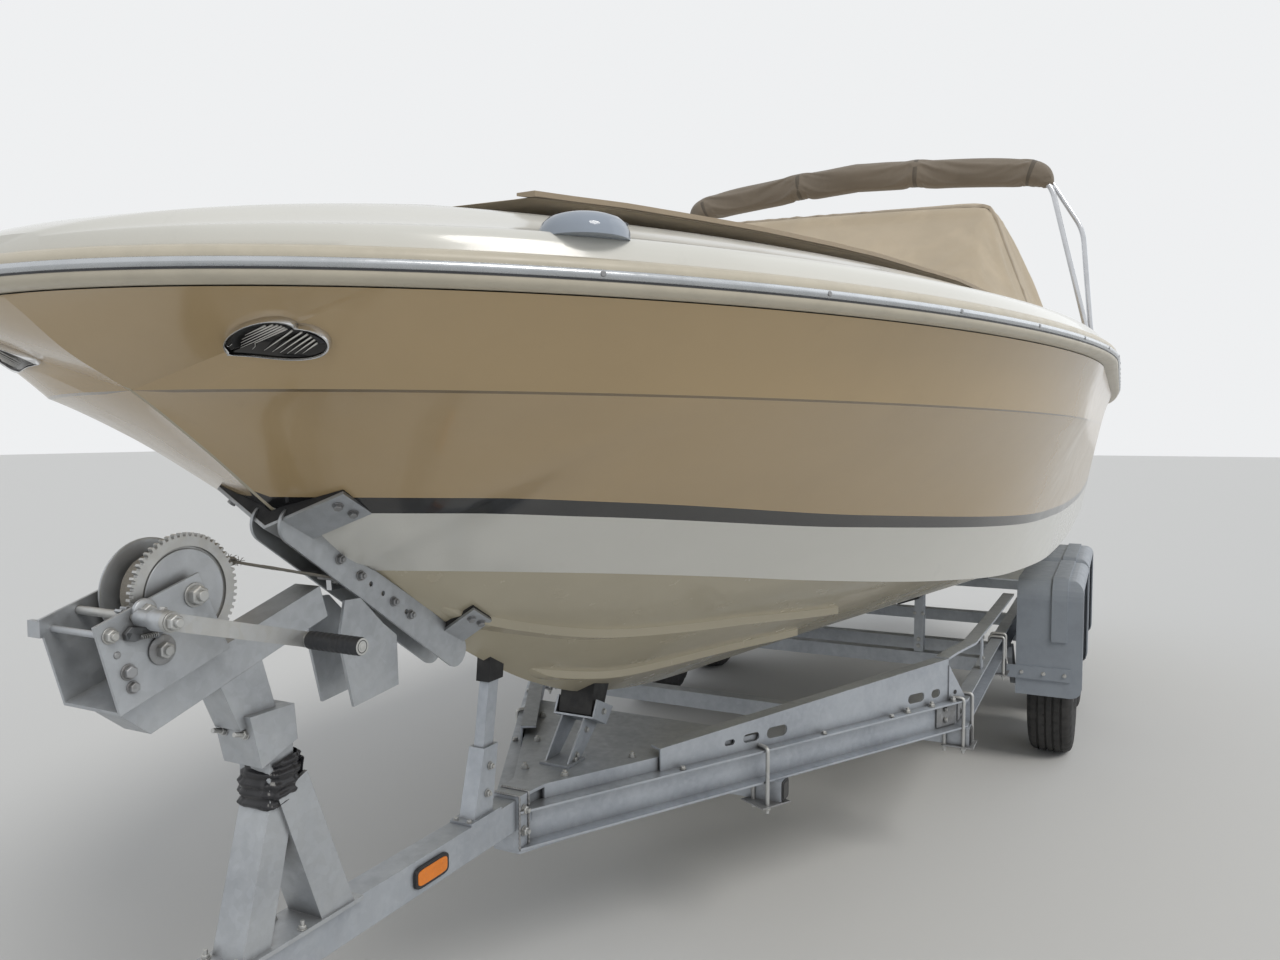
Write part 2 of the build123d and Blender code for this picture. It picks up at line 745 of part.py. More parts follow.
drawbar_bottom = DRAWBAR_TOP - DRAWBAR_DEPTH
half_bar = DRAWBAR_WIDTH / 2
drawbar_wall = 5
drawbar = block(DRAWBAR_FRONT, DRAWBAR_AFT, -half_bar, half_bar, drawbar_bottom, DRAWBAR_TOP)
drawbar = drawbar - block(
    DRAWBAR_FRONT + 1, DRAWBAR_AFT - 1, -half_bar + drawbar_wall, half_bar - drawbar_wall,
    drawbar_bottom + drawbar_wall, DRAWBAR_TOP - drawbar_wall,
)
save("drawbar", drawbar)

rail_top_z = FRAME_TOP
rail_bottom_z = FRAME_TOP - RAIL_DEPTH
rail_slope = (RAIL_HALF_GAUGE - half_bar - RAIL_WALL) / (RAIL_BEND - RAIL_START)
rail_tip = (RAIL_START - RAIL_LEAD, half_bar + RAIL_WALL - RAIL_LEAD * rail_slope)
rail_path = [rail_tip, (RAIL_BEND, RAIL_HALF_GAUGE), (RAIL_END, RAIL_HALF_GAUGE)]
web = plan_prism(strip(rail_path, 0, RAIL_WALL), rail_bottom_z, rail_top_z)
top_flange = plan_prism(strip(rail_path, 0, RAIL_FLANGE), rail_top_z - RAIL_WALL, rail_top_z)
low_flange = plan_prism(strip(rail_path, 0, RAIL_FLANGE), rail_bottom_z, rail_bottom_z + RAIL_WALL)
side_rail = web + top_flange + low_flange - block(
    DRAWBAR_FRONT, DRAWBAR_AFT, -half_bar, half_bar, drawbar_bottom, DRAWBAR_TOP
)
save("side_rail_port", side_rail)
save("side_rail_starboard", mirrored(side_rail))


def rail_y(station):
    """Half-gauge of the rails' webs at a station."""
    share = (station - RAIL_START) / (RAIL_BEND - RAIL_START)
    return min(half_bar + RAIL_WALL + (RAIL_HALF_GAUGE - half_bar) * share, RAIL_HALF_GAUGE)


beam_wall = 4
for number, station in enumerate(CROSS_BEAMS, 1):
    reach = rail_y(station) + RAIL_FLANGE + 8
    low = rail_bottom_z - BEAM_SIZE
    beam = block(station - BEAM_SIZE / 2, station + BEAM_SIZE / 2, -reach, reach, low, rail_bottom_z)
    beam = beam - block(
        station - BEAM_SIZE / 2 + beam_wall, station + BEAM_SIZE / 2 - beam_wall, -reach - 1, reach + 1,
        low + beam_wall, rail_bottom_z - beam_wall,
    )
    save(f"cross_beam_{number}", beam)

# Gusset plates tie the drawbar to the rails, above and below
collar_wall = 8
collar_front = RAIL_START - RAIL_LEAD - 26
junction = block(
    collar_front, collar_front + 40, -half_bar - collar_wall, half_bar + collar_wall,
    rail_bottom_z, DRAWBAR_TOP + collar_wall,
) - block(
    collar_front - 4, collar_front + 50, -half_bar, half_bar, drawbar_bottom, DRAWBAR_TOP
) - side_rail - mirrored(side_rail)


def gusset_edge(station):
    return half_bar + RAIL_WALL + (station - RAIL_START) * rail_slope + 3


gusset_front = collar_front + 32
top_ring = [(gusset_front, -half_bar - collar_wall), (gusset_front, half_bar + collar_wall)]
top_ring += [(RAIL_START + 12, gusset_edge(RAIL_START + 12)), (TOP_GUSSET_AFT, gusset_edge(TOP_GUSSET_AFT))]
top_ring += [(station, -y) for station, y in reversed(top_ring[2:])]
top_gusset = plan_prism(top_ring, DRAWBAR_TOP, DRAWBAR_TOP + 8)
skirt = plan_prism(
    [(RAIL_START + 12, gusset_edge(RAIL_START + 12)), (TOP_GUSSET_AFT, gusset_edge(TOP_GUSSET_AFT)),
     (TOP_GUSSET_AFT, gusset_edge(TOP_GUSSET_AFT) - 6), (RAIL_START + 12, gusset_edge(RAIL_START + 12) - 6)],
    FRAME_TOP, DRAWBAR_TOP + 8,
)
low_ring = [(collar_front + 4, -half_bar - 6), (collar_front + 4, half_bar + 6), (1700, 300), (1740, 300)]
low_ring += [(1740, -300), (1700, -300)]
low_gusset = plan_prism(low_ring, rail_bottom_z - 8, rail_bottom_z)
save("junction_gusset", low_gusset + junction + top_gusset + skirt + mirrored(skirt))

# Slotted side plates stand on the angled stretch of the rails, and carry the curved guide strips
plate_start = RAIL_START + 315
plate_end = RAIL_BEND - 45
plate_low = 58
plate_high = 138
# Columns: distance along the rail, length, height of each slot
PLATE_SLOTS = [(600, 36, 16), (680, 60, 25), (779, 80, 32), (1392, 80, 30), (1490, 44, 28)]
rail_run = atan2(RAIL_HALF_GAUGE - half_bar - RAIL_WALL, RAIL_BEND - RAIL_START)


def on_rail(distance, z, side_offset=0):
    """A point along the angled rail, measured from its start, standing off its web."""
    station = RAIL_START + distance * cos(rail_run) - side_offset * sin(rail_run)
    y = half_bar + RAIL_WALL + distance * sin(rail_run) + side_offset * cos(rail_run)
    return at(station, y, z)


plate_from = (plate_start - RAIL_START) / cos(rail_run)
plate_to = (plate_end - RAIL_START) / cos(rail_run)
plate_face = make_face(Polyline(
    on_rail(plate_from, rail_top_z, 8),
    on_rail(plate_to, rail_top_z, 8),
    on_rail(plate_to, rail_top_z + plate_high, 8),
    on_rail(plate_from, rail_top_z + plate_low, 8),
    close=True,
))
plate_out = on_rail(0, 0, 1) - on_rail(0, 0, 0)
side_plate = extrude(plate_face, amount=6, dir=(plate_out.X, plate_out.Y, 0))
for distance, slot_length, slot_height in PLATE_SLOTS:
    centre = on_rail(distance, rail_top_z + 33, 4)
    slot = Plane(origin=centre, x_dir=on_rail(1, 0) - on_rail(0, 0), z_dir=plate_out) * extrude(
        SlotOverall(slot_length, slot_height), amount=20
    )
    side_plate = side_plate - slot
flange_face = make_face(Polyline(
    on_rail(plate_from, rail_top_z + plate_low - 3, 14),
    on_rail(plate_to, rail_top_z + plate_high - 3, 14),
    on_rail(plate_to, rail_top_z + plate_high - 3, -30),
    on_rail(plate_from, rail_top_z + plate_low - 3, -30),
    close=True,
))
side_plate = side_plate + extrude(flange_face, amount=6, dir=(0, 0, 1))
end_y = (on_rail(plate_to, 0, 8)).Y
guide_z = rail_top_z + 178
guide_width = 46
# Columns: station, inner edge, height of the strip's underside
guide_rows = [
    (plate_end - 6, end_y - 40, rail_top_z + plate_high - 1),
    (plate_end + 50, end_y - 18, rail_top_z + plate_high + 10),
    (RAIL_BEND + 120, RAIL_HALF_GAUGE + 8, guide_z - 16),
    (RAIL_BEND + 580, RAIL_HALF_GAUGE + 22, guide_z - 10),
    (RAIL_BEND + 1180, RAIL_HALF_GAUGE + 32, guide_z - 6),
]


def guide_face(row):
    station, y, z = row
    corners = [(y, z), (y + guide_width, z), (y + guide_width, z + 8), (y, z + 8)]
    return make_face(Polyline(*[at(station, cy, cz) for cy, cz in corners], close=True))


guide = loft([guide_face(row) for row in guide_rows], ruled=True)
guide_post = block(
    RAIL_BEND + 440, RAIL_BEND + 485, RAIL_HALF_GAUGE + 28, RAIL_HALF_GAUGE + 34, rail_top_z, guide_z - 6
)
side_plate_port = side_plate + guide + guide_post
save("side_plate_port", side_plate_port)
save("side_plate_starboard", mirrored(side_plate_port))

# Winch post: a box leg in front, a channel leg behind, a collar with a tube that carries the arm, and a base plate
base_top = DRAWBAR_TOP + 8
base_plate = block(300, 592, -46, 46, DRAWBAR_TOP, base_top)
front_leg = side_prism([(321, base_top), (381, base_top), (440, 800), (437, 905), (385, 893), (385, 800)], -35, 35)
rear_outline = [(491, base_top), (572, base_top), (463, 836), (398, 808)]
rear_hollow = [(499, base_top - 1), (600, base_top - 1), (491, 866), (404, 816)]
rear_leg = side_prism(rear_outline, -41, 41) - side_prism(rear_hollow, -33, 33)
collar = side_prism([(339, 963), (362, 871), (439, 900), (433, 963)], -45, 45)
neck = side_prism([(333, 940), (410, 950), (377, 1056), (294, 1028)], -30, 30)
arm = sloped(along(ARM_FRONT, ARM_AFT, -40), ARM_AFT, ARM_SIZE, -ARM_SIZE / 2, ARM_SIZE / 2)
arm_cut = side_prism([(82, 1057), (208, 952), (208, 880), (40, 880), (40, 1057)], -60, 60)
arm_length = hypot(ARM_AFT[0] - ARM_FRONT[0], ARM_AFT[1] - ARM_FRONT[1])
arm_inside = sloped(
    along(ARM_FRONT, ARM_AFT, 60), along(ARM_FRONT, ARM_AFT, arm_length - 3), ARM_SIZE - 8,
    -ARM_SIZE / 2 + 4, ARM_SIZE / 2 - 4,
)
arm = arm - arm_cut
winch_post = base_plate + front_leg + rear_leg + collar + neck
winch_post = winch_post - arm
save("winch_post", winch_post)
save("winch_arm", arm - arm_inside)

# Bow stop: two plates with rounded ends on the arm, straddling the stem, tied by gusset plates
stop_length = hypot(STOP_AFT[0] - STOP_FRONT[0], STOP_AFT[1] - STOP_FRONT[1])
stop_in = ARM_SIZE / 2
stop_out = stop_in + STOP_PLATE
stop_plate = sloped(STOP_FRONT, STOP_AFT, STOP_BEAM, stop_in, stop_out)
for end in (STOP_FRONT, STOP_AFT):
    stop_plate = stop_plate + disc(end[0], end[1], stop_in, stop_out, STOP_BEAM / 2)
for index in range(5):
    s, z = along(STOP_FRONT, STOP_AFT, stop_length * (0.34 + 0.075 * index))
    stop_plate = stop_plate - disc(s, z, stop_in - 1, stop_out + 1, 5)
gusset = side_prism(
    [(560, 1120), (600, 1118), (660, 1060), (698, 1030), (702, 931), (579, 918), (545, 1050)],
    stop_out, stop_out + 6,
)
wing_slope = radians(WING_SLOPE)


def wing(vertex, reach, width, start, thick):
    """A flat wing of a V bracket on the port side, from its vertex on the centre line, as a slab on its hull side."""
    root = at(vertex[0], 0, vertex[1])
    across = at(vertex[0] + reach[0], reach[1], vertex[1] + reach[2]) - root
    down = at(vertex[0] + width * cos(wing_slope), 0, vertex[1] - width * sin(wing_slope)) - root
    normal = down.cross(across).normalized()
    if normal.Z < 0:
        normal = normal * -1
    shift = normal * start
    face = make_face(Polyline(root + shift, root + across + shift, root + across + down + shift,
                              root + down + shift, close=True))
    return extrude(face, amount=thick, dir=(normal.X, normal.Y, normal.Z))


beams = stop_plate + gusset
pads = []
past_centre = block(0, 1200, -60, 0, 600, 1500)
for vertex, reach, width in ((UPPER_VERTEX, UPPER_WING, UPPER_WIDTH), (LOWER_VERTEX, LOWER_WING, LOWER_WIDTH)):
    beams = beams + wing(vertex, reach, width, 0, WING_PLATE)
    pads.append(wing(vertex, reach, width, WING_PLATE, WING_RUBBER))
beams = beams - hull - past_centre
port_pads = [pad - hull - stop_plate - gusset - past_centre for pad in pads]
save("bow_stop_beams", beams + mirrored(beams))
save("bow_stop_pads", [pad + mirrored(pad) for pad in port_pads])

# Winch frame: a folded steel channel on the arm, with the gear's shaft across it
gear_pitch_r = GEAR_MODULE * GEAR_TEETH / 2
pinion_pitch_r = GEAR_MODULE * PINION_TEETH / 2
gear_distance = gear_pitch_r + pinion_pitch_r
gear_bearing = radians(9.2)
gear_station = WINCH_HUB_STATION + gear_distance * cos(gear_bearing)
gear_z = WINCH_HUB_Z + gear_distance * sin(gear_bearing)
base_level = ARM_SIZE / 2 + ARM_TO_BASE
plate_low_front = along(ARM_FRONT, ARM_AFT, -27, base_level)
plate_low_aft = along(ARM_FRONT, ARM_AFT, 167, base_level)
cheek_side = side_prism(
    [(WINCH_HUB_STATION - 60, WINCH_HUB_Z - 5), (235, 1216), plate_low_aft, plate_low_front],
    WINCH_CHEEK_Y, WINCH_CHEEK_Y + CHEEK_THICK,
)
frame_base = side_prism(
    [
        plate_low_front, plate_low_aft,
        along(ARM_FRONT, ARM_AFT, 167, base_level + CHEEK_THICK),
        along(ARM_FRONT, ARM_AFT, -27, base_level + CHEEK_THICK),
    ],
    -WINCH_CHEEK_Y, WINCH_CHEEK_Y,
)
spacers = []
for distance in (14, 112):
    spacers.append(sloped(
        along(ARM_FRONT, ARM_AFT, distance, base_level - ARM_TO_BASE / 2),
        along(ARM_FRONT, ARM_AFT, distance + 34, base_level - ARM_TO_BASE / 2), ARM_TO_BASE, -24, 24
    ))
ear = block(68, 76, -WINCH_CHEEK_Y - 28, -WINCH_CHEEK_Y, 1136, 1160)
shaft_r = 8
pinion_shaft_r = 6.5
gear_shaft = disc(gear_station, gear_z, -WINCH_CHEEK_Y - 14, WINCH_CHEEK_Y + 14, shaft_r)
tie_station = WINCH_HUB_STATION - 40
tie_rod = disc(tie_station, WINCH_HUB_Z - 20, -WINCH_CHEEK_Y - 8, WINCH_CHEEK_Y + 8, 5)
cheeks = pair(cheek_side)
shaft_bore = disc(WINCH_HUB_STATION, WINCH_HUB_Z, -WINCH_CHEEK_Y - 9, WINCH_CHEEK_Y + 9, pinion_shaft_r + 0.4)
winch_frame = cheeks[0] + cheeks[1] + frame_base + gear_shaft + tie_rod + spacers[0] + spacers[1] + ear
winch_frame = winch_frame - shaft_bore - arm
save("winch_frame", winch_frame)

gear_y0 = 36
gear_y1 = 45
gear_root_r = gear_pitch_r - 0.7 * GEAR_MODULE
gear_tip_r = gear_pitch_r + GEAR_MODULE
tooth_points = []
for tooth in range(GEAR_TEETH):
    for share, radius in (
        (0.0, gear_root_r), (0.3, gear_root_r), (0.42, gear_tip_r), (0.78, gear_tip_r), (0.9, gear_root_r)
    ):
        turn = 2 * pi * (tooth + share) / GEAR_TEETH
        tooth_points.append((gear_station + radius * cos(turn), gear_z + radius * sin(turn)))
gear = side_prism(tooth_points, gear_y0, gear_y1)
gear = gear - disc(gear_station, gear_z, gear_y1 - 4, gear_y1 + 1, gear_root_r - 15)
drum = disc(gear_station, gear_z, -40, gear_y0, DRUM_R)
drum_flange = disc(gear_station, gear_z, -44, -40, DRUM_FLANGE_R)
strap_roll = disc(gear_station, gear_z, -26, 26, ROLL_R)
winch_drum = gear + drum + drum_flange
winch_drum = winch_drum - disc(gear_station, gear_z, -60, 60, shaft_r + 0.4)
strap_roll = strap_roll - disc(gear_station, gear_z, -60, 60, DRUM_R)
save("winch_drum", winch_drum)
save("strap_roll", strap_roll)

pinion_r = gear_distance - gear_tip_r - 0.8
crank_angle = radians(16.5)
grip_station = WINCH_HUB_STATION + CRANK_ARM * cos(crank_angle)
grip_z = WINCH_HUB_Z - CRANK_ARM * sin(crank_angle)
pinion = disc(WINCH_HUB_STATION, WINCH_HUB_Z, gear_y0 - 3, gear_y1 + 3, pinion_r)
crank_shaft = disc(WINCH_HUB_STATION, WINCH_HUB_Z, -WINCH_CHEEK_Y - 16, CRANK_PLANE_Y + 8, pinion_shaft_r)
crank_bar = sloped(
    (WINCH_HUB_STATION, WINCH_HUB_Z), (grip_station, grip_z), 25, CRANK_PLANE_Y, CRANK_PLANE_Y + 8
)
crank_ends = disc(WINCH_HUB_STATION, WINCH_HUB_Z, CRANK_PLANE_Y, CRANK_PLANE_Y + 8, 15)
crank_ends = crank_ends + disc(grip_station, grip_z, CRANK_PLANE_Y, CRANK_PLANE_Y + 8, 13)
grip = disc(grip_station, grip_z, CRANK_PLANE_Y + 8, CRANK_PLANE_Y + 8 + GRIP_LENGTH, 13.5)
save("winch_crank", pinion + crank_shaft + crank_bar + crank_ends + grip)

# Bow eye on the stem, with the strap pulled tight to it
eye_station = 585
eye_z = bottom_height(eye_station, 0) - 34
eye_bore_r = 11
eye_plate = side_prism(
    [(eye_station - 30, eye_z + 90), (eye_station - 21, eye_z - 16), (eye_station + 21, eye_z - 16),
     (eye_station + 32, eye_z + 50)], -6, 6
) - disc(eye_station, eye_z, -20, 20, eye_bore_r) - hull

strap_width = 50
strap_thick = 3
strap_lean = radians(14.4)
strap_start = (gear_station + (ROLL_R + 2) * sin(strap_lean), gear_z + (ROLL_R + 2) * cos(strap_lean))
strap_end = (eye_station - 17, eye_z + 6)
strap = sloped(strap_start, strap_end, strap_thick, -strap_width / 2, strap_width / 2) - eye_plate
strap = strap - disc(gear_station, gear_z, -60, 60, ROLL_R + 0.5)
hook = disc(eye_station, eye_z, -strap_width / 2, strap_width / 2, eye_bore_r - 3)
for side in (-1, 1):
    low_y = min(side * 10, side * strap_width / 2)
    hook = hook + sloped((strap_end[0] - 2, strap_end[1]), (eye_station - 2, eye_z), 7, low_y, low_y + strap_width / 2 - 10)
save("winch_strap", strap + (hook - eye_plate))

# Keel supports: a post with a rubber block under the stem, and a bracket with a roller behind it
prop_low = side_prism([(972, DRAWBAR_TOP + 6), (1042, DRAWBAR_TOP + 6), (1066, 705), (1012, 705)], -21, 21)
prop_high = side_prism([(1018, 700), (1056, 700), (1084, 868), (1046, 868)], -13, 13)
prop_foot = block(950, 1066, -half_bar, half_bar, DRAWBAR_TOP, DRAWBAR_TOP + 6)
prop_post = prop_low + prop_high + prop_foot
prop_cap = side_prism([(1036, 852), (1092, 852), (1104, 960), (1048, 960)], -18, 18) - prop_high - hull
gusset_top = DRAWBAR_TOP + 8
bracket_leg = side_prism([(1352, gusset_top), (1418, gusset_top), (1514, 630), (1447, 664)], 31, 36)
cradle_base = sloped((1444, 664.5), (1518, 629.5), 5, -60, 60)
cradle_side = side_prism([(1445, 662), (1516, 628), (1556, 668), (1468, 708)], 57, 62)
bracket_base = block(1344, 1430, -44, 44, gusset_top, gusset_top + 6)
bracket = (bracket_base + bracket_leg + mirrored(bracket_leg) + cradle_base + cradle_side + mirrored(cradle_side)) - hull
save("keel_brackets", prop_post, bracket)
keel_block = side_prism([(1452, 667.5), (1508, 640), (1560, 745), (1480, 780)], -50, 50) - hull - bracket
save("keel_blocks", prop_cap, keel_block)

# Bunks: carpeted timbers along the bottom, on tilting posts from the cross beams
bunk_y = 500
bunk_half = 45
bunk_front = 3420
bunk_aft = 6260
bunk_thick = 46
bunk_low_z = bottom_height(3700, bunk_y) - 60
tilt_rise = (962 - 560) / 1060
bunk_port = across_prism(
    [
        (bunk_y - bunk_half, bunk_low_z - bunk_half * tilt_rise),
        (bunk_y + bunk_half, bunk_low_z + bunk_half * tilt_rise),
        (bunk_y + bunk_half, bunk_low_z + bunk_half * tilt_rise + 100),
        (bunk_y - bunk_half, bunk_low_z - bunk_half * tilt_rise + 100),
    ],
    bunk_front, bunk_aft,
) - hull
save("bunks", pair(bunk_port))
bunk_posts = []
post_stations = [CROSS_BEAMS[2], CROSS_BEAMS[3]]
for station in post_stations:
    post = block(station - 25, station + 25, bunk_y - 20, bunk_y + 20, rail_bottom_z, bunk_low_z + 40)
    bunk_posts.append(post - bunk_port)
save("bunk_posts", [pair(post.solids().sort_by(Axis.Z)[0]) for post in bunk_posts])

# Running gear: torsion axles under the rails, trailing arms, stub axles and braked wheels
axle_half = RAIL_HALF_GAUGE + 36
arm_out = axle_half + 22
hub_z = TYRE_R - FRAME_LIFT
axle_beams = []
arms = []
for station in AXLE_STATIONS:
    tube_station = station - AXLE_TUBE_AHEAD
    tube_z = rail_bottom_z - 30
    axle_beams.append(
        block(tube_station - 30, tube_station + 30, -axle_half, axle_half, tube_z - 30, rail_bottom_z)
    )
    axle_arm = side_prism(
        [
            (tube_station - 30, tube_z + 26),
            (tube_station + 30, tube_z + 30),
            (station + 28, hub_z + 26),
            (station + 28, hub_z - 26),
            (station - 10, hub_z - 30),
            (tube_station - 30, tube_z - 26),
        ],
        axle_half, arm_out,
    )
    stub = disc(station, hub_z, arm_out, WHEEL_Y + 42, STUB_R)
    arms.append(pair(axle_arm + stub))
axles = []
for beam, (port_arm, starboard_arm) in zip(axle_beams, arms):
    axles.append(beam + port_arm + starboard_arm)
save("axles", axles)


def across_turned(profile, station, z, y):
    """A turned piece on an axis across the boat, from its radius and its side relative to y."""
    face = make_face(Polyline(*[at(station, y + dy, z + r) for r, dy in profile], close=True))
    return revolve(face, axis=Axis(at(station, 0, z), (0, 1, 0)), revolution_arc=360)


tyre_half = TYRE_WIDTH / 2
tyre_profile = [
    (RIM_R, -tyre_half + 16),
    (RIM_R + 26, -tyre_half + 3),
    (RIM_R + 80, -tyre_half),
    (TYRE_R - 26, -tyre_half + 8),
    (TYRE_R - 6, -tyre_half + 22),
    (TYRE_R, -tyre_half + 42),
    (TYRE_R, tyre_half - 42),
    (TYRE_R - 6, tyre_half - 22),
    (TYRE_R - 26, tyre_half - 8),
    (RIM_R + 80, tyre_half),
    (RIM_R + 26, tyre_half - 3),
    (RIM_R, tyre_half - 16),
]
rim_profile = [
    (RIM_R, -tyre_half + 16),
    (RIM_R, tyre_half - 16),
    (RIM_R - 8, tyre_half - 12),
    (RIM_R - 12, tyre_half - 30),
    (RIM_R - 30, 34),
    (120, 28),
    (70, 40),
    (42, 40),
    (42, 78),
    (34, 84),
    (0, 84),
    (0, 46),
    (STUB_R + 0.6, 46),
    (STUB_R + 0.6, -70),
    (60, -70),
    (60, 20),
    (120, 20),
    (RIM_R - 34, 26),
    (RIM_R - 14, -20),
    (RIM_R - 12, -tyre_half + 20),
]
for number, station in enumerate(AXLE_STATIONS, 1):
    tyre = across_turned(tyre_profile, station, TYRE_R, WHEEL_Y)
    rim = across_turned(rim_profile, station, TYRE_R, WHEEL_Y)
    for turn in range(8):
        bearing = 2 * pi * (turn + 0.5) / 8
        rim = rim - disc(
            station + 122 * cos(bearing), TYRE_R + 122 * sin(bearing), WHEEL_Y + 10, WHEEL_Y + 50, 13
        )
    for turn in range(5):
        bearing = 2 * pi * turn / 5
        rim = rim + disc(
            station + 56 * cos(bearing), TYRE_R + 56 * sin(bearing), WHEEL_Y + 30, WHEEL_Y + 56, 9
        )
    save(f"tyre_port_{number}", tyre)
    save(f"wheel_port_{number}", rim)
    save(f"tyre_starboard_{number}", mirrored(tyre))
    save(f"wheel_starboard_{number}", mirrored(rim))

# Mudguards: a moulded shell over each wheel, with a raised rib, on flat brackets from the rail
GUARD_STARTS = [station - GUARD_AHEAD for station in AXLE_STATIONS]


def eased(corner, radius, turn):
    """Points round a rounded corner of an outline; turn is 0 at a left upper corner and 1 at a right upper one."""
    side = -1 if turn == 0 else 1
    centre = (corner[0] - side * radius, corner[1] - radius)
    points = []
    for step in range(7):
        angle = pi / 2 * step / 6
        points.append((centre[0] + side * radius * sin(angle), centre[1] + radius * cos(angle)))
    return points[::-1] if turn == 0 else points


def guard_outline(start, inset):
    """The guard seen from the side, its skin set in by a distance."""
    front = start + inset
    aft = start + GUARD_LENGTH - inset
    top = GUARD_TOP - inset
    low = GUARD_BOTTOM - max(inset, 0)
    corner = max(GUARD_CORNER - inset, 12)
    return [(front, low)] + eased((front, top), corner, 0) + eased((aft, top), corner, 1) + [(aft, low)]


def guard_cross(inset, start):
    """The guard seen from the front: a flat top with a rounded outer shoulder."""
    out = GUARD_OUT - inset
    top = GUARD_TOP - inset
    inner = GUARD_IN - (20 if inset else 0)
    low = GUARD_BOTTOM - inset
    outline = [(inner, low), (inner, top)] + eased((out, top), GUARD_EASE - inset, 1)
    outline += [(out, low + 46), (out - 6, low + 22), (out - 20, low + 7), (out - 44, low)]
    return across_prism(outline, start - 5, start + GUARD_LENGTH + 5)


def guard_shell(start):
    """A guard with its wheel opening, and the rib that runs round its top."""
    shell = side_prism(guard_outline(start, 0), GUARD_IN, GUARD_OUT) & guard_cross(0, start)
    inside = side_prism(guard_outline(start, GUARD_SKIN), GUARD_IN - 20, GUARD_OUT) & guard_cross(GUARD_SKIN, start)
    opening = side_prism(guard_outline(start, GUARD_LIP), GUARD_OUT - 40, GUARD_OUT + 10)
    shell = shell - inside - opening
    rib = side_prism(guard_outline(start, -RIB_RISE), RIB_Y - RIB_HALF, RIB_Y + RIB_HALF)
    rib = rib - side_prism(guard_outline(start, 3), RIB_Y - 99, RIB_Y + 99)
    rib = rib - block(start - 30, start + GUARD_LENGTH + 30, RIB_Y - 90, RIB_Y + 90, GUARD_BOTTOM - 40, RIB_LOW)
    return shell + rib


guard_parts = []
for start in GUARD_STARTS:
    guard_parts.append(guard_shell(start))
rail_face_y = RAIL_HALF_GAUGE + RAIL_WALL
bar_low = 330
bar_high = 386
foot_y = RAIL_HALF_GAUGE + RAIL_FLANGE
brackets = []
for station, step in ((GUARD_STARTS[0], -8), (GUARD_STARTS[-1] + GUARD_LENGTH, 8)):
    bar = block(station, station + step, rail_face_y, GUARD_OUT - 45, bar_low, bar_high)
    foot = block(station, station + step, rail_face_y, foot_y, bar_low, rail_bottom_z)
    brackets.append(bar + foot)
middle = GUARD_STARTS[0] + GUARD_LENGTH
hanger = block(middle - 9, GUARD_STARTS[1] + 9, rail_face_y, RIB_Y + 20, bar_low, bar_high)
hanger = hanger + block(middle - 9, GUARD_STARTS[1] + 9, rail_face_y, foot_y, bar_low, rail_bottom_z)
mudguard = guard_parts[0] + guard_parts[1] + hanger + brackets[0] + brackets[1]
save("mudguard_port", mudguard)
save("mudguard_starboard", mirrored(mudguard))

# Coupling for a 50 mm ball, with its release lever and a shaft gaiter behind it
ball_r = 25
ball_station = -COUPLING_REACH + 52
ball_z = 456
dome = rod(at(ball_station, 0, ball_z - 14), at(ball_station, 0, ball_z + 44), 52)
neck = side_prism(
    [(ball_station, ball_z + 6), (ball_station, ball_z + 44), (-940, DRAWBAR_TOP - 6), (DRAWBAR_FRONT, DRAWBAR_TOP - 6),
     (DRAWBAR_FRONT, DRAWBAR_TOP - 66), (-960, DRAWBAR_TOP - 66)], -34, 34
)
socket = rod(at(ball_station, 0, ball_z - 15), at(ball_station, 0, ball_z + 20), ball_r + 0.5)
coupling = dome + neck - socket
lever = side_prism(
    [(-1010, ball_z + 70), (-1000, ball_z + 92), (-880, ball_z + 128), (-872, ball_z + 116), (-960, ball_z + 78)], -14, 14
)
lever = lever - coupling
lever_foot = block(-985, -955, -14, 14, ball_z + 40, ball_z + 80) - coupling
save("coupling_head", coupling + lever + lever_foot)

# Jockey: a clamp on the drawbar, an outer tube, a sliding leg and a castoring wheel
jockey_station = -520
jockey_y = half_bar + 48
outer_r = 30
inner_r = 24
jockey_wheel_r = 100
jockey_wheel_half = 30
fork_top = 236
clamp = block(jockey_station - 30, jockey_station + 30, half_bar, jockey_y, DRAWBAR_TOP - 68, DRAWBAR_TOP - 8)
outer_low = 442
outer_tube = rod(at(jockey_station, jockey_y, outer_low), at(jockey_station, jockey_y, 800), outer_r)
outer_bore = rod(at(jockey_station, jockey_y, outer_low - 1), at(jockey_station, jockey_y, 770), inner_r + 0.6)
clamp = clamp + outer_tube - outer_bore
clamp_block = block(jockey_station - 30, jockey_station + 30, -half_bar - 8, -half_bar, DRAWBAR_TOP - 68, DRAWBAR_TOP - 8)
crank_top = rod(at(jockey_station, jockey_y, 800), at(jockey_station, jockey_y, 822), 10)
crank_top = crank_top + block(jockey_station - 10, jockey_station + 130, jockey_y - 10, jockey_y + 10, 822, 828)
crank_top = crank_top + rod(
    at(jockey_station + 118, jockey_y, 828), at(jockey_station + 118, jockey_y, 890), 10
)
save("jockey_clamp", clamp + crank_top, clamp_block)
jockey_leg = rod(at(jockey_station, jockey_y, fork_top), at(jockey_station, jockey_y, 520 + FRAME_LIFT), inner_r)
jockey_leg = jockey_leg - rod(at(jockey_station, jockey_y, fork_top - 1), at(jockey_station, jockey_y, fork_top + 16), 10.5)
save("jockey_leg", jockey_leg)
trail = 34
wheel_station = jockey_station + trail
fork_cap = block(jockey_station - 34, wheel_station + 24, jockey_y - 44, jockey_y + 44, fork_top - 18, fork_top - 5)
fork_side = side_prism(
    [(jockey_station - 26, fork_top - 18), (wheel_station + 20, fork_top - 18), (wheel_station + 16, 86),
     (wheel_station - 16, 86)], jockey_wheel_half + 6, jockey_wheel_half + 11
)
fork_side_port = Pos(0, jockey_y, 0) * fork_side
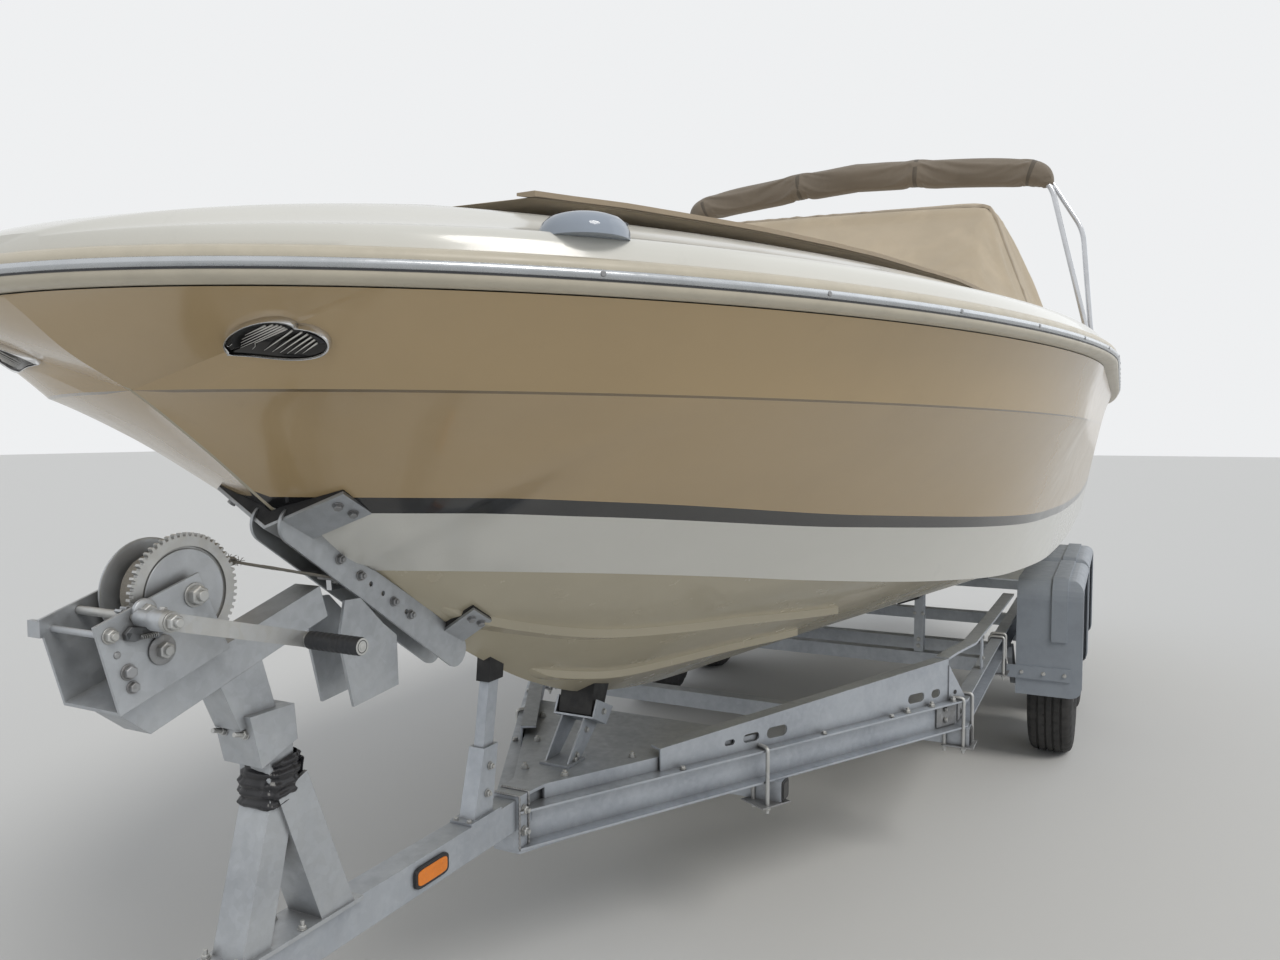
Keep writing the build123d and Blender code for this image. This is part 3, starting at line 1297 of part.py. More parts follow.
fork_side_starboard = Pos(0, jockey_y, 0) * mirrored(fork_side)
fork = fork_cap + fork_side_port + fork_side_starboard
fork = fork + rod(at(jockey_station, jockey_y, fork_top - 5), at(jockey_station, jockey_y, fork_top + 12), 10)
fork = fork + disc(
    wheel_station, jockey_wheel_r, jockey_y - jockey_wheel_half - 14, jockey_y + jockey_wheel_half + 14, 8
)
save("jockey_fork", fork)
jockey_wheel = across_turned(
    [(8.5, -26), (30, -26), (30, -14), (62, -12), (72, -26), (90, -jockey_wheel_half), (jockey_wheel_r, -18),
     (jockey_wheel_r, 18), (90, jockey_wheel_half), (72, 26), (62, 12), (30, 14), (30, 26), (8.5, 26)],
    wheel_station, jockey_wheel_r, jockey_y,
)
save("jockey_wheel", jockey_wheel)

# Light board across the stern of the trailer, with lamps and a blank plate
board_station = RAIL_END + 40
board = block(board_station, board_station + 12, -860, 860, 380, 500)
board_arm = block(RAIL_END - 90, board_station, RAIL_HALF_GAUGE - 40, RAIL_HALF_GAUGE, 396, 420) - side_rail
save("light_board", board, pair(board_arm))
lamp_unit = block(board_station + 12, board_station + 52, 640, 850, 390, 490)
save("tail_lamps", pair(lamp_unit))

# Side reflectors in their holders on the drawbar
reflector_station = 806
reflector = block(reflector_station - 55, reflector_station + 55, half_bar, half_bar + 9, DRAWBAR_TOP - 60, DRAWBAR_TOP - 14)
save("side_reflectors", pair(reflector))

# Fittings of the hull and deck
def skin_y(station, z):
    """Half-breadth of the hull's skin at a height, on its section at a station."""
    half = hull_half(station)
    for (y0, z0), (y1, z1) in zip(half, half[1:]):
        if z0 <= z <= z1 and z1 > z0:
            return y0 + (y1 - y0) * (z - z0) / (z1 - z0)
    return half[-1][0]


lamp_station = 178
lamp_z = 1553
lamp_length = 168
lamp_height = 74
lamp_centre = at(lamp_station, skin_y(lamp_station, lamp_z), lamp_z)
lamp_aft = at(lamp_station + 40, skin_y(lamp_station + 40, lamp_z), lamp_z)
lamp_up = at(lamp_station, skin_y(lamp_station, lamp_z + 20), lamp_z + 20)
lamp_run = (lamp_aft - lamp_centre).normalized()
lamp_normal = lamp_run.cross(lamp_up - lamp_centre).normalized()
if lamp_normal.Y < 0:
    lamp_normal = lamp_normal * -1
lamp_plane = Plane(origin=lamp_centre - lamp_normal * 14, x_dir=lamp_run, z_dir=lamp_normal)
docking_light = lamp_plane * extrude(Ellipse(lamp_length / 2, lamp_height / 2), amount=24)
docking_light = docking_light - hull
save("docking_lights", pair(docking_light))
stern_eye = side_prism(
    [(HULL_LENGTH, 860), (HULL_LENGTH + 36, 866), (HULL_LENGTH + 36, 914), (HULL_LENGTH, 920)], 842, 852
) - disc(HULL_LENGTH + 20, 890, 830, 860, 9)
save("hull_eyes", eye_plate, pair(stern_eye))


def cleat(station, y, z):
    """A low horn cleat lying along the deck's edge."""
    base = block(station - 30, station + 30, y - 14, y + 14, z - 30, z + 18)
    horn = rod(at(station - 78, y, z + 20), at(station + 78, y, z + 20), 8)
    return (base + horn) - deck


cleat_sites = [(3150, HALF_BEAM - 120), (HULL_LENGTH - 250, HALF_BEAM - 175)]
lens_station = 388
lens_y = sheer_breadth(lens_station) - 52
lens_z = 1712
lens_r = 47
lens_ball = 84
lens = (Pos(at(lens_station, lens_y, lens_z - lens_ball + 8)) * Sphere(lens_ball)) & rod(
    at(lens_station, lens_y, lens_z - 20), at(lens_station, lens_y, lens_z + 20), lens_r
)
cleats = [pair(lens - deck)]
for station, y in cleat_sites:
    cleats.append(pair(cleat(station, y, COAMING_Z - 12)))
save("deck_cleats", cleats)
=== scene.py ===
"""Looks of the bowrider speedboat on its tandem-axle trailer.

Metres, in the frame of the solids: +X to the bow, +Y to port, +Z up.
Stations are distances aft of the tip of the bow.
"""
import bmesh
import bpy
import json
import random
import numpy as np
from math import atan2, cos, pi, radians, sin, sqrt
from mathutils import Matrix, Vector, noise


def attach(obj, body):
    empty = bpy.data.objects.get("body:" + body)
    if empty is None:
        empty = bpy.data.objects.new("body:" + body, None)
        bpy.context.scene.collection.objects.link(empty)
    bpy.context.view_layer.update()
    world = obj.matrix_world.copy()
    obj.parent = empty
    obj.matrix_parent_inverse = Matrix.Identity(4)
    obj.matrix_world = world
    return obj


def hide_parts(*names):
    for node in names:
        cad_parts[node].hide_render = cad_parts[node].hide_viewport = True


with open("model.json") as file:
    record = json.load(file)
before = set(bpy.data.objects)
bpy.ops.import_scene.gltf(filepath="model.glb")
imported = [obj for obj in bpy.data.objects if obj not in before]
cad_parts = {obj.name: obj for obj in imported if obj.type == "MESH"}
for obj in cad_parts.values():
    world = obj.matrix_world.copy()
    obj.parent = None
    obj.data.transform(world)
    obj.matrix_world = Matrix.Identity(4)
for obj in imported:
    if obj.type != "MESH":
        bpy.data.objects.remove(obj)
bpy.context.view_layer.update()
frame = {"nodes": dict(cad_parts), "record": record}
nodes = frame["nodes"]
random.seed(4)

# Main lines of the boat
BOW_X = 2.986

# Everything but the wheels is drawn from a base that lies this far above the ground
FRAME_LIFT = 0.09
STANDING_BODIES = ["jockey_wheel", "wheel_port_1", "wheel_port_2", "wheel_starboard_1", "wheel_starboard_2"]
HULL_LENGTH = 6.45
HALF_BEAM = 1.255
BOW_FULLNESS = 2.3
KNUCKLE_HALF_BEAM = 1.212
KNUCKLE_START = 0.178
KNUCKLE_FULLNESS = 2.22
TRANSOM_NARROWING = 0.055
NARROWING_START = 4.2
SHEER_Z = 1.605
KNUCKLE_BOW_Z = 1.49
KNUCKLE_STERN_Z = 1.462
CHINE_FLAT = 0.038
RAIL_HEIGHT = 0.05
DECK_EDGE_Z = 1.69
DECK_EDGE_IN = 0.026
COAMING_IN = 0.19
COAMING_Z = 1.738
CROWN_Z = 1.752
FULL_DECK = 0.62

# Columns: station, height of the keel, half-breadth of the chine, height of the chine
HULL_STATIONS = [
    (0.0, 1.603, 0.0, 1.604),
    (0.02, 1.588, 0.002, 1.59),
    (0.08, 1.54, 0.003, 1.542),
    (0.18, 1.484, 0.004, 1.486),
    (0.3, 1.398, 0.005, 1.4),
    (0.45, 1.28, 0.006, 1.283),
    (0.62, 1.16, 0.014, 1.166),
    (0.8, 1.042, 0.175, 1.15),
    (1.0, 0.922, 0.33, 1.13),
    (1.25, 0.8, 0.49, 1.1),
    (1.5, 0.715, 0.62, 1.066),
    (2.0, 0.63, 0.83, 1.01),
    (2.5, 0.59, 0.95, 0.972),
    (3.2, 0.57, 1.03, 0.956),
    (4.2, 0.562, 1.06, 0.958),
    (5.4, 0.56, 1.06, 0.96),
    (6.45, 0.56, 1.045, 0.962),
]
STRAKE_WIDTH = 0.046
STRAKE_DROP = 0.02
STRAKES = [
    [(0.82, 0.06), (1.2, 0.231), (1.54, 0.44), (1.87, 0.607)],
    [(1.18, 0.04), (1.5, 0.14), (1.8, 0.343), (2.0, 0.45)],
]

# Height of the middle of the black stripe along the topsides
STRIPE = [(0.0, 1.31), (0.415, 1.303), (0.57, 1.3), (0.8, 1.283), (1.4, 1.224), (2.6, 1.155), (6.5, 1.12)]
STRIPE_HALF = 0.0145
# Width of a dark tan band along the knuckle, painted shade of the crease
KNUCKLE_SHADE_WIDTH = 0.0035


def smooth_curve(xs, ys):
    """A smooth function through points that never overshoots them."""
    xs = np.asarray(xs, float)
    ys = np.asarray(ys, float)
    h = np.diff(xs)
    d = np.diff(ys) / h
    m = np.zeros(len(xs))
    m[0] = d[0]
    m[-1] = d[-1]
    for i in range(1, len(xs) - 1):
        if d[i - 1] * d[i] > 0:
            w1 = 2 * h[i] + h[i - 1]
            w2 = h[i] + 2 * h[i - 1]
            m[i] = (w1 + w2) / (w1 / d[i - 1] + w2 / d[i])

    def value(x):
        x = min(max(x, xs[0]), xs[-1])
        i = int(min(max(np.searchsorted(xs, x) - 1, 0), len(h) - 1))
        t = (x - xs[i]) / h[i]
        return float(
            ys[i] * (1 + 2 * t) * (1 - t) ** 2 + h[i] * m[i] * t * (1 - t) ** 2
            + ys[i + 1] * t * t * (3 - 2 * t) + h[i] * m[i + 1] * t * t * (t - 1)
        )

    return value


hull_columns = list(zip(*HULL_STATIONS))
keel_z, chine_y, chine_z = (smooth_curve(hull_columns[0], column) for column in hull_columns[1:])
stripe_z = smooth_curve(*zip(*STRIPE))


def between(rows, station):
    """The values of a table at a station, straight from row to row."""
    for low, high in zip(rows, rows[1:]):
        if station <= high[0]:
            break
    t = (station - low[0]) / (high[0] - low[0])
    return [a + (b - a) * t for a, b in zip(low[1:], high[1:])]


def squared_turn(turn, power):
    """Cosine and sine of an angle, pushed out towards a square as the power falls."""
    c = cos(turn)
    v = sin(turn)
    return abs(c) ** power * (1 if c >= 0 else -1), abs(v) ** power * (1 if v >= 0 else -1)


def at(station, y=0.0, z=0.0):
    return Vector((BOW_X - station, y, z))


def ellipse_breadth(station, start, fullness, half_beam):
    run = min(max((station - start) / fullness, 0), 1)
    return half_beam * sqrt(1 - (1 - run) ** 2)


def narrowing(station):
    return TRANSOM_NARROWING * (max(station - NARROWING_START, 0) / (HULL_LENGTH - NARROWING_START)) ** 2


def sheer_breadth(station):
    return ellipse_breadth(station, 0, BOW_FULLNESS, HALF_BEAM) - narrowing(station)


def knuckle_point(station):
    fall = min(station / BOW_FULLNESS, 1)
    height = KNUCKLE_BOW_Z + (KNUCKLE_STERN_Z - KNUCKLE_BOW_Z) * fall
    breadth = ellipse_breadth(station, KNUCKLE_START, KNUCKLE_FULLNESS, KNUCKLE_HALF_BEAM)
    if station < KNUCKLE_START:
        return 0.0, max(keel_z(station), height)
    return breadth - narrowing(station), height


def bottom_z(station, y):
    return keel_z(station) + (chine_z(station) - keel_z(station)) * y / max(chine_y(station), 1e-4)


# Materials
def fill(node, values):
    """Sets the plain values of a node's sockets by their names."""
    for name, value in values.items():
        node.inputs[name].default_value = value


class Finish:
    """A node material with procedural colour, roughness and bump on object coordinates."""

    def __init__(
        self, name, colour, rough=0.5, metal=0.0, coat=0.0, coat_rough=0.1, sheen=0.0, specular=0.5
    ):
        self.material = bpy.data.materials.new(name)
        self.material.use_nodes = True
        self.tree = self.material.node_tree
        self.shader = self.tree.nodes["Principled BSDF"]
        fill(self.shader, {
            "Base Color": (*colour, 1), "Roughness": rough, "Metallic": metal, "Coat Weight": coat,
            "Coat Roughness": coat_rough, "Sheen Weight": sheen, "Specular IOR Level": specular,
        })
        self.material.diffuse_color = (*colour, 1)
        self.colour = None
        self.height = None
        self.coords = self.add("ShaderNodeTexCoord").outputs["Object"]

    def add(self, kind, **settings):
        node = self.tree.nodes.new(kind)
        for key, value in settings.items():
            setattr(node, key, value)
        return node

    def link(self, source, target):
        self.tree.links.new(source, target)

    def stretched(self, scale):
        mapping = self.add("ShaderNodeMapping")
        self.link(self.coords, mapping.inputs["Vector"])
        mapping.inputs["Scale"].default_value = scale
        return mapping.outputs["Vector"]

    def noise(self, scale, detail=4, rough=0.55, stretch=None, distortion=0.0):
        node = self.add("ShaderNodeTexNoise")
        fill(node, {"Scale": scale, "Detail": detail, "Roughness": rough, "Distortion": distortion})
        self.link(self.stretched(stretch) if stretch else self.coords, node.inputs["Vector"])
        return node.outputs["Fac"]

    def cells(self, scale, feature="F1", output="Distance", stretch=None):
        node = self.add("ShaderNodeTexVoronoi", feature=feature)
        node.inputs["Scale"].default_value = scale
        self.link(self.stretched(stretch) if stretch else self.coords, node.inputs["Vector"])
        return node.outputs[output]

    def waves(self, scale, direction="X", distortion=0.0, stretch=None):
        node = self.add("ShaderNodeTexWave", bands_direction=direction)
        fill(node, {"Scale": scale, "Distortion": distortion})
        self.link(self.stretched(stretch) if stretch else self.coords, node.inputs["Vector"])
        return node.outputs["Fac"]

    def maths(self, operation, a, b=None):
        node = self.add("ShaderNodeMath", operation=operation)
        for socket, value in zip(node.inputs, (a, b)):
            if value is None:
                continue
            if isinstance(value, (int, float)):
                socket.default_value = value
            else:
                self.link(value, socket)
        return node.outputs[0]

    def spread(self, factor, low, high, to_low, to_high):
        node = self.add("ShaderNodeMapRange")
        self.link(factor, node.inputs["Value"])
        fill(node, {"From Min": low, "From Max": high, "To Min": to_low, "To Max": to_high})
        return node.outputs["Result"]

    def paint(self, colour, factor=None, mode="MIX", amount=1.0):
        """Lays a colour over what is there, by a factor."""
        if self.colour is None and factor is None:
            self.colour = colour
            return self
        node = self.add("ShaderNodeMix", data_type="RGBA", blend_type=mode)
        if factor is None:
            node.inputs["Factor"].default_value = amount
        else:
            self.link(factor, node.inputs["Factor"])
        if self.colour is None:
            node.inputs["A"].default_value = self.shader.inputs["Base Color"].default_value
        else:
            self.link(self.colour, node.inputs["A"])
        if isinstance(colour, tuple):
            node.inputs["B"].default_value = (*colour, 1)
        else:
            self.link(colour, node.inputs["B"])
        self.colour = node.outputs["Result"]
        return self

    def roughness(self, factor, low, high):
        self.link(self.spread(factor, 0.25, 0.75, low, high), self.shader.inputs["Roughness"])
        return self

    def raise_by(self, factor, amount):
        """Adds a relief of that depth in metres."""
        scaled = self.maths("MULTIPLY", factor, amount)
        self.height = scaled if self.height is None else self.maths("ADD", self.height, scaled)
        return self

    def corner_shade_mask(self, reach=0.03, samples=8):
        """How enclosed a place is, for painted shade that darkens corners."""
        node = self.add("ShaderNodeAmbientOcclusion", samples=samples)
        node.inputs["Distance"].default_value = reach
        return node.outputs["AO"]

    def done(self, edge=0.0):
        if self.colour is not None:
            self.link(self.colour, self.shader.inputs["Base Color"])
        normal = None
        if edge:
            bevel = self.add("ShaderNodeBevel", samples=4)
            bevel.inputs["Radius"].default_value = edge
            normal = bevel.outputs["Normal"]
        if self.height is not None:
            bump = self.add("ShaderNodeBump")
            fill(bump, {"Strength": 1.0, "Distance": 1.0})
            self.link(self.height, bump.inputs["Height"])
            if normal is not None:
                self.link(normal, bump.inputs["Normal"])
            normal = bump.outputs["Normal"]
        if normal is not None:
            self.link(normal, self.shader.inputs["Normal"])
        return self.material


def gelcoat(name, colour, mottle, rough=0.16):
    f = Finish(name, colour, rough=rough, coat=0.35, coat_rough=0.06)
    darker = tuple(c * (1 - mottle) for c in colour)
    f.paint(darker, f.spread(f.noise(1.7, 5, 0.6), 0.42, 0.7, 0.0, 0.8))
    f.paint(
        tuple(c * 0.72 for c in colour),
        f.spread(f.noise(9, 6, 0.7, stretch=(1, 1, 0.35)), 0.62, 0.8, 0.0, 0.35),
    )
    f.roughness(f.noise(14, 5), rough * 0.8, rough * 1.5)
    f.raise_by(f.noise(3.2, 2), 0.0012)
    f.raise_by(f.noise(260, 2), 0.00002)
    return f.done()


def galvanised(name, colour=(0.47, 0.5, 0.54), wear=1.0, edge=0.0015):
    f = Finish(name, colour, rough=0.42, metal=0.72)
    f.paint(
        (colour[0] * 0.66, colour[1] * 0.67, colour[2] * 0.7),
        f.spread(f.noise(5, 5, 0.55), 0.4, 0.72, 0, 0.6),
    )
    f.paint((0.56, 0.59, 0.63), f.spread(f.cells(70, output="Color"), 0.35, 0.8, 0, 0.22))
    f.paint((0.6, 0.63, 0.66), f.spread(f.noise(26, 6, 0.6), 0.56, 0.8, 0, 0.4))
    f.paint((0.2, 0.16, 0.12), f.spread(f.noise(18, 8, 0.75), 0.68, 0.8, 0, 0.5 * wear))
    # Painted shade: enclosed corners and hollows are darkened in the colour
    corner_shade = f.corner_shade_mask(0.05)
    f.paint((0.12, 0.115, 0.11), f.spread(corner_shade, 0.25, 0.85, 0.75, 0.0))
    f.roughness(f.noise(40, 5), 0.34, 0.62)
    f.raise_by(f.noise(110, 4), 0.00025)
    f.raise_by(f.noise(600, 2), 0.00005)
    return f.done(edge)


def bright_steel(name, colour=(0.62, 0.63, 0.65), rough=0.16, edge=0.0008):
    f = Finish(name, colour, rough=rough, metal=1.0)
    f.paint(tuple(c * 0.8 for c in colour), f.spread(f.noise(20, 5), 0.45, 0.75, 0, 0.6))
    f.roughness(f.noise(60, 6, 0.7), rough * 0.7, rough * 1.9)
    f.raise_by(f.noise(900, 2), 0.000008)
    return f.done(edge)


def rubber(name, colour=(0.022, 0.022, 0.023), rough=0.62, grain=0.00012):
    f = Finish(name, colour, rough=rough, specular=0.4)
    f.paint((0.075, 0.072, 0.068), f.spread(f.noise(11, 7, 0.7), 0.5, 0.78, 0, 0.6))
    f.roughness(f.noise(35, 5), rough * 0.8, rough * 1.25)
    f.raise_by(f.noise(420, 3), grain)
    return f.done(0.0015)


def moulded(name, colour, rough=0.42, grain=0.00006, speck=0.12):
    f = Finish(name, colour, rough=rough)
    f.paint(tuple(c * (1 - speck) for c in colour), f.spread(f.noise(13, 6, 0.65), 0.45, 0.7, 0, 0.9))
    f.roughness(f.noise(30, 5), rough * 0.8, rough * 1.35)
    f.raise_by(f.noise(700, 2), grain)
    return f.done(0.001)


def canvas(name, colour, thread=520.0, depth=0.00022, stain=0.18):
    f = Finish(name, colour, rough=0.86, sheen=0.25, specular=0.25)
    f.paint(tuple(c * (1 - stain) for c in colour), f.spread(f.noise(2.2, 7, 0.62), 0.4, 0.7, 0, 0.9))
    f.paint(tuple(min(c * 1.16, 1) for c in colour), f.spread(f.noise(9, 6, 0.6), 0.5, 0.75, 0, 0.6))
    warp = f.waves(thread, "X")
    weft = f.waves(thread, "Y")
    rise = f.waves(thread, "Z")
    weave = f.maths("MULTIPLY", f.maths("ADD", warp, weft), 0.5)
    weave = f.maths("ADD", weave, f.maths("MULTIPLY", rise, 0.35))
    f.raise_by(weave, depth)
    f.raise_by(f.noise(70, 5), 0.0006)
    # Painted shade: the low parts of the weave are darkened in the colour
    f.paint(tuple(c * 0.7 for c in colour), f.spread(weave, 0.9, 0.1, 0.0, 0.3))
    return f.done()


TAN = (0.46, 0.335, 0.18)
tan_gelcoat = gelcoat("tan_gelcoat", TAN, 0.10)
# A darker tan painted along the knuckle as the shade of the crease
knuckle_shade_gelcoat = gelcoat("knuckle_shade_gelcoat", tuple(c * 0.45 for c in TAN), 0.2)
white_gelcoat = gelcoat("white_gelcoat_paint", (0.68, 0.67, 0.62), 0.05)
cream_gelcoat = gelcoat("cream_gelcoat", (0.47, 0.42, 0.31), 0.12, rough=0.2)
black_stripe = gelcoat("black_stripe", (0.012, 0.012, 0.013), 0.2, rough=0.14)
steel_frame = galvanised("galvanised_frame")
steel_winch = galvanised("galvanised_winch", (0.48, 0.5, 0.52), wear=0.7)
steel_old = galvanised("galvanised_worn", (0.33, 0.33, 0.33), wear=1.5)
zinc = galvanised("zinc_plated", (0.55, 0.55, 0.53), wear=0.8, edge=0.0008)
stainless = bright_steel("polished_stainless")
rail_insert = bright_steel("rail_insert_steel", (0.56, 0.58, 0.6), rough=0.2)
lamp_mirror = bright_steel("lamp_mirror", (0.72, 0.72, 0.72), rough=0.08)
black_rubber = rubber("black_rubber_finish")
tyre_rubber = rubber("tyre_rubber_finish", (0.024, 0.024, 0.025), 0.7, 0.0002)
tan_canvas = canvas("tan_canvas_weave", (0.56, 0.465, 0.335))
boot_canvas = canvas("boot_canvas_weave", (0.245, 0.205, 0.16))
strap_weave = canvas("strap_weave", (0.27, 0.245, 0.205), thread=900, depth=0.0003)
carpet = canvas("carpet_pile", (0.045, 0.045, 0.05), thread=700, depth=0.0008)
guard_plastic = moulded("guard_plastic", (0.27, 0.3, 0.34))
board_plastic = moulded("board_plastic_white", (0.6, 0.6, 0.57))
black_plastic = moulded("black_plastic", (0.02, 0.02, 0.022), rough=0.38)
red_lens = moulded("red_lens_plastic", (0.42, 0.012, 0.01), rough=0.12)
amber_lens = moulded("amber_lens_plastic", (0.72, 0.2, 0.02), rough=0.12)
drive_paint = moulded("drive_paint_black", (0.03, 0.03, 0.034), rough=0.3)
iron = galvanised("painted_iron", (0.09, 0.095, 0.1), wear=1.2)
rim_paint = moulded("rim_paint", (0.52, 0.53, 0.54), rough=0.32)

MATERIAL_OF_SLOT = {
    "hull_gelcoat": tan_gelcoat,
    "white_gelcoat": white_gelcoat,
    "rail_stainless": rail_insert,
    "tan_canvas": tan_canvas,
    "boot_canvas": boot_canvas,
    "stainless": stainless,
    "lamp_chrome": lamp_mirror,
    "engine_iron": iron,
    "drive_paint": drive_paint,
    "galvanised_steel": steel_frame,
    "zinc_plate": zinc,
    "black_rubber": black_rubber,
    "bunk_carpet": carpet,
    "strap_webbing": strap_weave,
    "grey_guard": guard_plastic,
    "coupling_casting": iron,
    "board_plastic": board_plastic,
    "red_lens": red_lens,
    "amber_lens": amber_lens,
    "tyre_rubber": tyre_rubber,
    "rim_steel": rim_paint,
}
for row in frame["record"]["subparts"]:
    piece = nodes[row["node"]]
    finish = MATERIAL_OF_SLOT[row["material_slot"]]
    if row["node"] in ("winch_frame", "winch_post", "winch_arm", "bow_stop_beams"):
        finish = steel_winch
    for holder in piece.material_slots:
        holder.material = finish
    if not piece.material_slots:
        piece.data.materials.append(finish)


# Mesh building
def welded(mesh, distance):
    """Joins points that meet and turns the faces outwards."""
    work = bmesh.new()
    work.from_mesh(mesh)
    bmesh.ops.remove_doubles(work, verts=work.verts, dist=distance)
    bmesh.ops.dissolve_degenerate(work, edges=work.edges, dist=distance)
    bmesh.ops.recalc_face_normals(work, faces=work.faces)
    work.to_mesh(mesh)
    work.free()


class Shape:
    """Collects faces, each with its material, and makes one piece of them."""

    def __init__(self):
        self.points = []
        self.faces = []
        self.marks = []
        self.materials = []

    def mark(self, material):
        if material not in self.materials:
            self.materials.append(material)
        return self.materials.index(material)

    def grid(self, rows, material, around=False, ends=False):
        """Faces between rows of points. The material may be a function of the row and the place in it."""
        first = len(self.points)
        wide = len(rows[0])
        for row in rows:
            self.points += [tuple(p) for p in row]
        for i in range(len(rows) - 1):
            for j in range(wide if around else wide - 1):
                k = (j + 1) % wide
                a = first + i * wide + j
                b = first + i * wide + k
                self.faces.append((a, b, b + wide, a + wide))
                chosen = material(i, j) if callable(material) else material
                self.marks.append(self.mark(chosen))
        if ends:
            chosen = material(0, 0) if callable(material) else material
            self.faces.append(tuple(reversed(range(first, first + wide))))
            last = first + (len(rows) - 1) * wide
            self.faces.append(tuple(range(last, last + wide)))
            self.marks += [self.mark(chosen)] * 2
        return self

    def tube(self, path, radius, material, sides=16, caps=True, flat=1.0):
        """A tube along points. The radius may be a list with one value for each point."""
        path = [Vector(p) for p in path]
        radii = radius if isinstance(radius, (list, tuple)) else [radius] * len(path)
        rows = []
        normal = None
        for i, point in enumerate(path):
            run = (path[min(i + 1, len(path) - 1)] - path[max(i - 1, 0)]).normalized()
            if normal is None:
                normal = run.orthogonal().normalized()
            normal = (normal - run * normal.dot(run)).normalized()
            other = run.cross(normal)
            row = []
            for k in range(sides):
                turn = 2 * pi * k / sides
                row.append(point + normal * cos(turn) * radii[i] + other * sin(turn) * radii[i] * flat)
            rows.append(row)
        return self.grid(rows, material, around=True, ends=caps)

    def lathe(self, profile, origin, axis, material, sides=32, start=0.0):
        """Turns pairs of radius and height round an axis."""
        origin = Vector(origin)
        axis = Vector(axis).normalized()
        side = axis.orthogonal().normalized()
        other = axis.cross(side)
        rows = []
        for radius, height in profile:
            row = []
            for k in range(sides):
                turn = start + 2 * pi * k / sides
                row.append(
                    origin + axis * height + (side * cos(turn) + other * sin(turn)) * max(radius, 1e-5)
                )
            rows.append(row)
        return self.grid(rows, material, around=True, ends=True)

    def close(self, line, others, material):
        """One face across the boat, of a half-section and the mirror image of some of its points."""
        self.points += [tuple(p) for p in line] + [(p.x, -p.y, p.z) for p in reversed(others)]
        ring = len(line) + len(others)
        self.faces.append(tuple(range(len(self.points) - ring, len(self.points))))
        self.marks.append(self.mark(material))

    def prism(self, outline, direction, material, taper=1.0):
        """An outline of points carried along a direction."""
        outline = [Vector(p) for p in outline]
        centre = sum(outline, Vector()) / len(outline)
        far = [centre + (p - centre) * taper + Vector(direction) for p in outline]
        return self.grid([outline, far], material, around=True, ends=True)

    def block(self, s0, s1, y0, y1, z0, z1, material):
        base = [at(s0, y0, z0), at(s1, y0, z0), at(s1, y1, z0), at(s0, y1, z0)]
        return self.prism(base, (0, 0, z1 - z0), material)

    def bolt(self, centre, axis, size, material, washer=True, thread=0.0):
        """A hexagon head or nut on a washer, with a stub of thread if asked."""
        centre = Vector(centre)
        axis = Vector(axis).normalized()
        base = 0.0
        if washer:
            self.lathe(
                [(0, 0), (size * 1.12, 0), (size * 1.12, size * 0.16), (0, size * 0.16)], centre, axis,
                material, 20,
            )
            base = size * 0.16
        head = size * 0.78
        self.lathe(
            [
                (0, base), (size * 0.92, base), (size * 0.92, base + head * 0.86),
                (size * 0.78, base + head), (0, base + head),
            ],
            centre, axis, material, 6, start=0.3,
        )
        if thread:
            self.tube(
                [centre + axis * (base + head * 0.9), centre + axis * (base + head + thread)], size * 0.5,
                material, 12,
            )
        return self

    def piece(self, name, body="root", smooth=35, weld=1e-6, bevel=0.0, slot=None):
        mesh = bpy.data.meshes.new(name)
        mesh.from_pydata(self.points, [], self.faces)
        for material in self.materials:
            mesh.materials.append(material)
        mesh.polygons.foreach_set("material_index", self.marks)
        if weld:
            welded(mesh, weld)
        mesh.polygons.foreach_set("use_smooth", [True] * len(mesh.polygons))
        mesh.set_sharp_from_angle(angle=radians(smooth))
        item = bpy.data.objects.new(name, mesh)
        bpy.context.scene.collection.objects.link(item)
        if bevel:
            modifier = item.modifiers.new("edges", "BEVEL")
            modifier.width = bevel
            modifier.segments = 2
            modifier.limit_method = "ANGLE"
            modifier.angle_limit = radians(40)
            modifier.harden_normals = False
        if body not in STANDING_BODIES:
            mesh.transform(Matrix.Translation((0, 0, FRAME_LIFT)))
        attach(item, body)
        return item

    def fitting(self, name, body="root", bevel=0.0004):
        """A piece of plated hardware with softened edges."""
        return self.piece(name, body, bevel=bevel, slot="zinc_plate")


def mirrored(rows):
    """The same rows on the other side of the boat."""
    return [[Vector((p.x, -p.y, p.z)) for p in row] for row in rows]


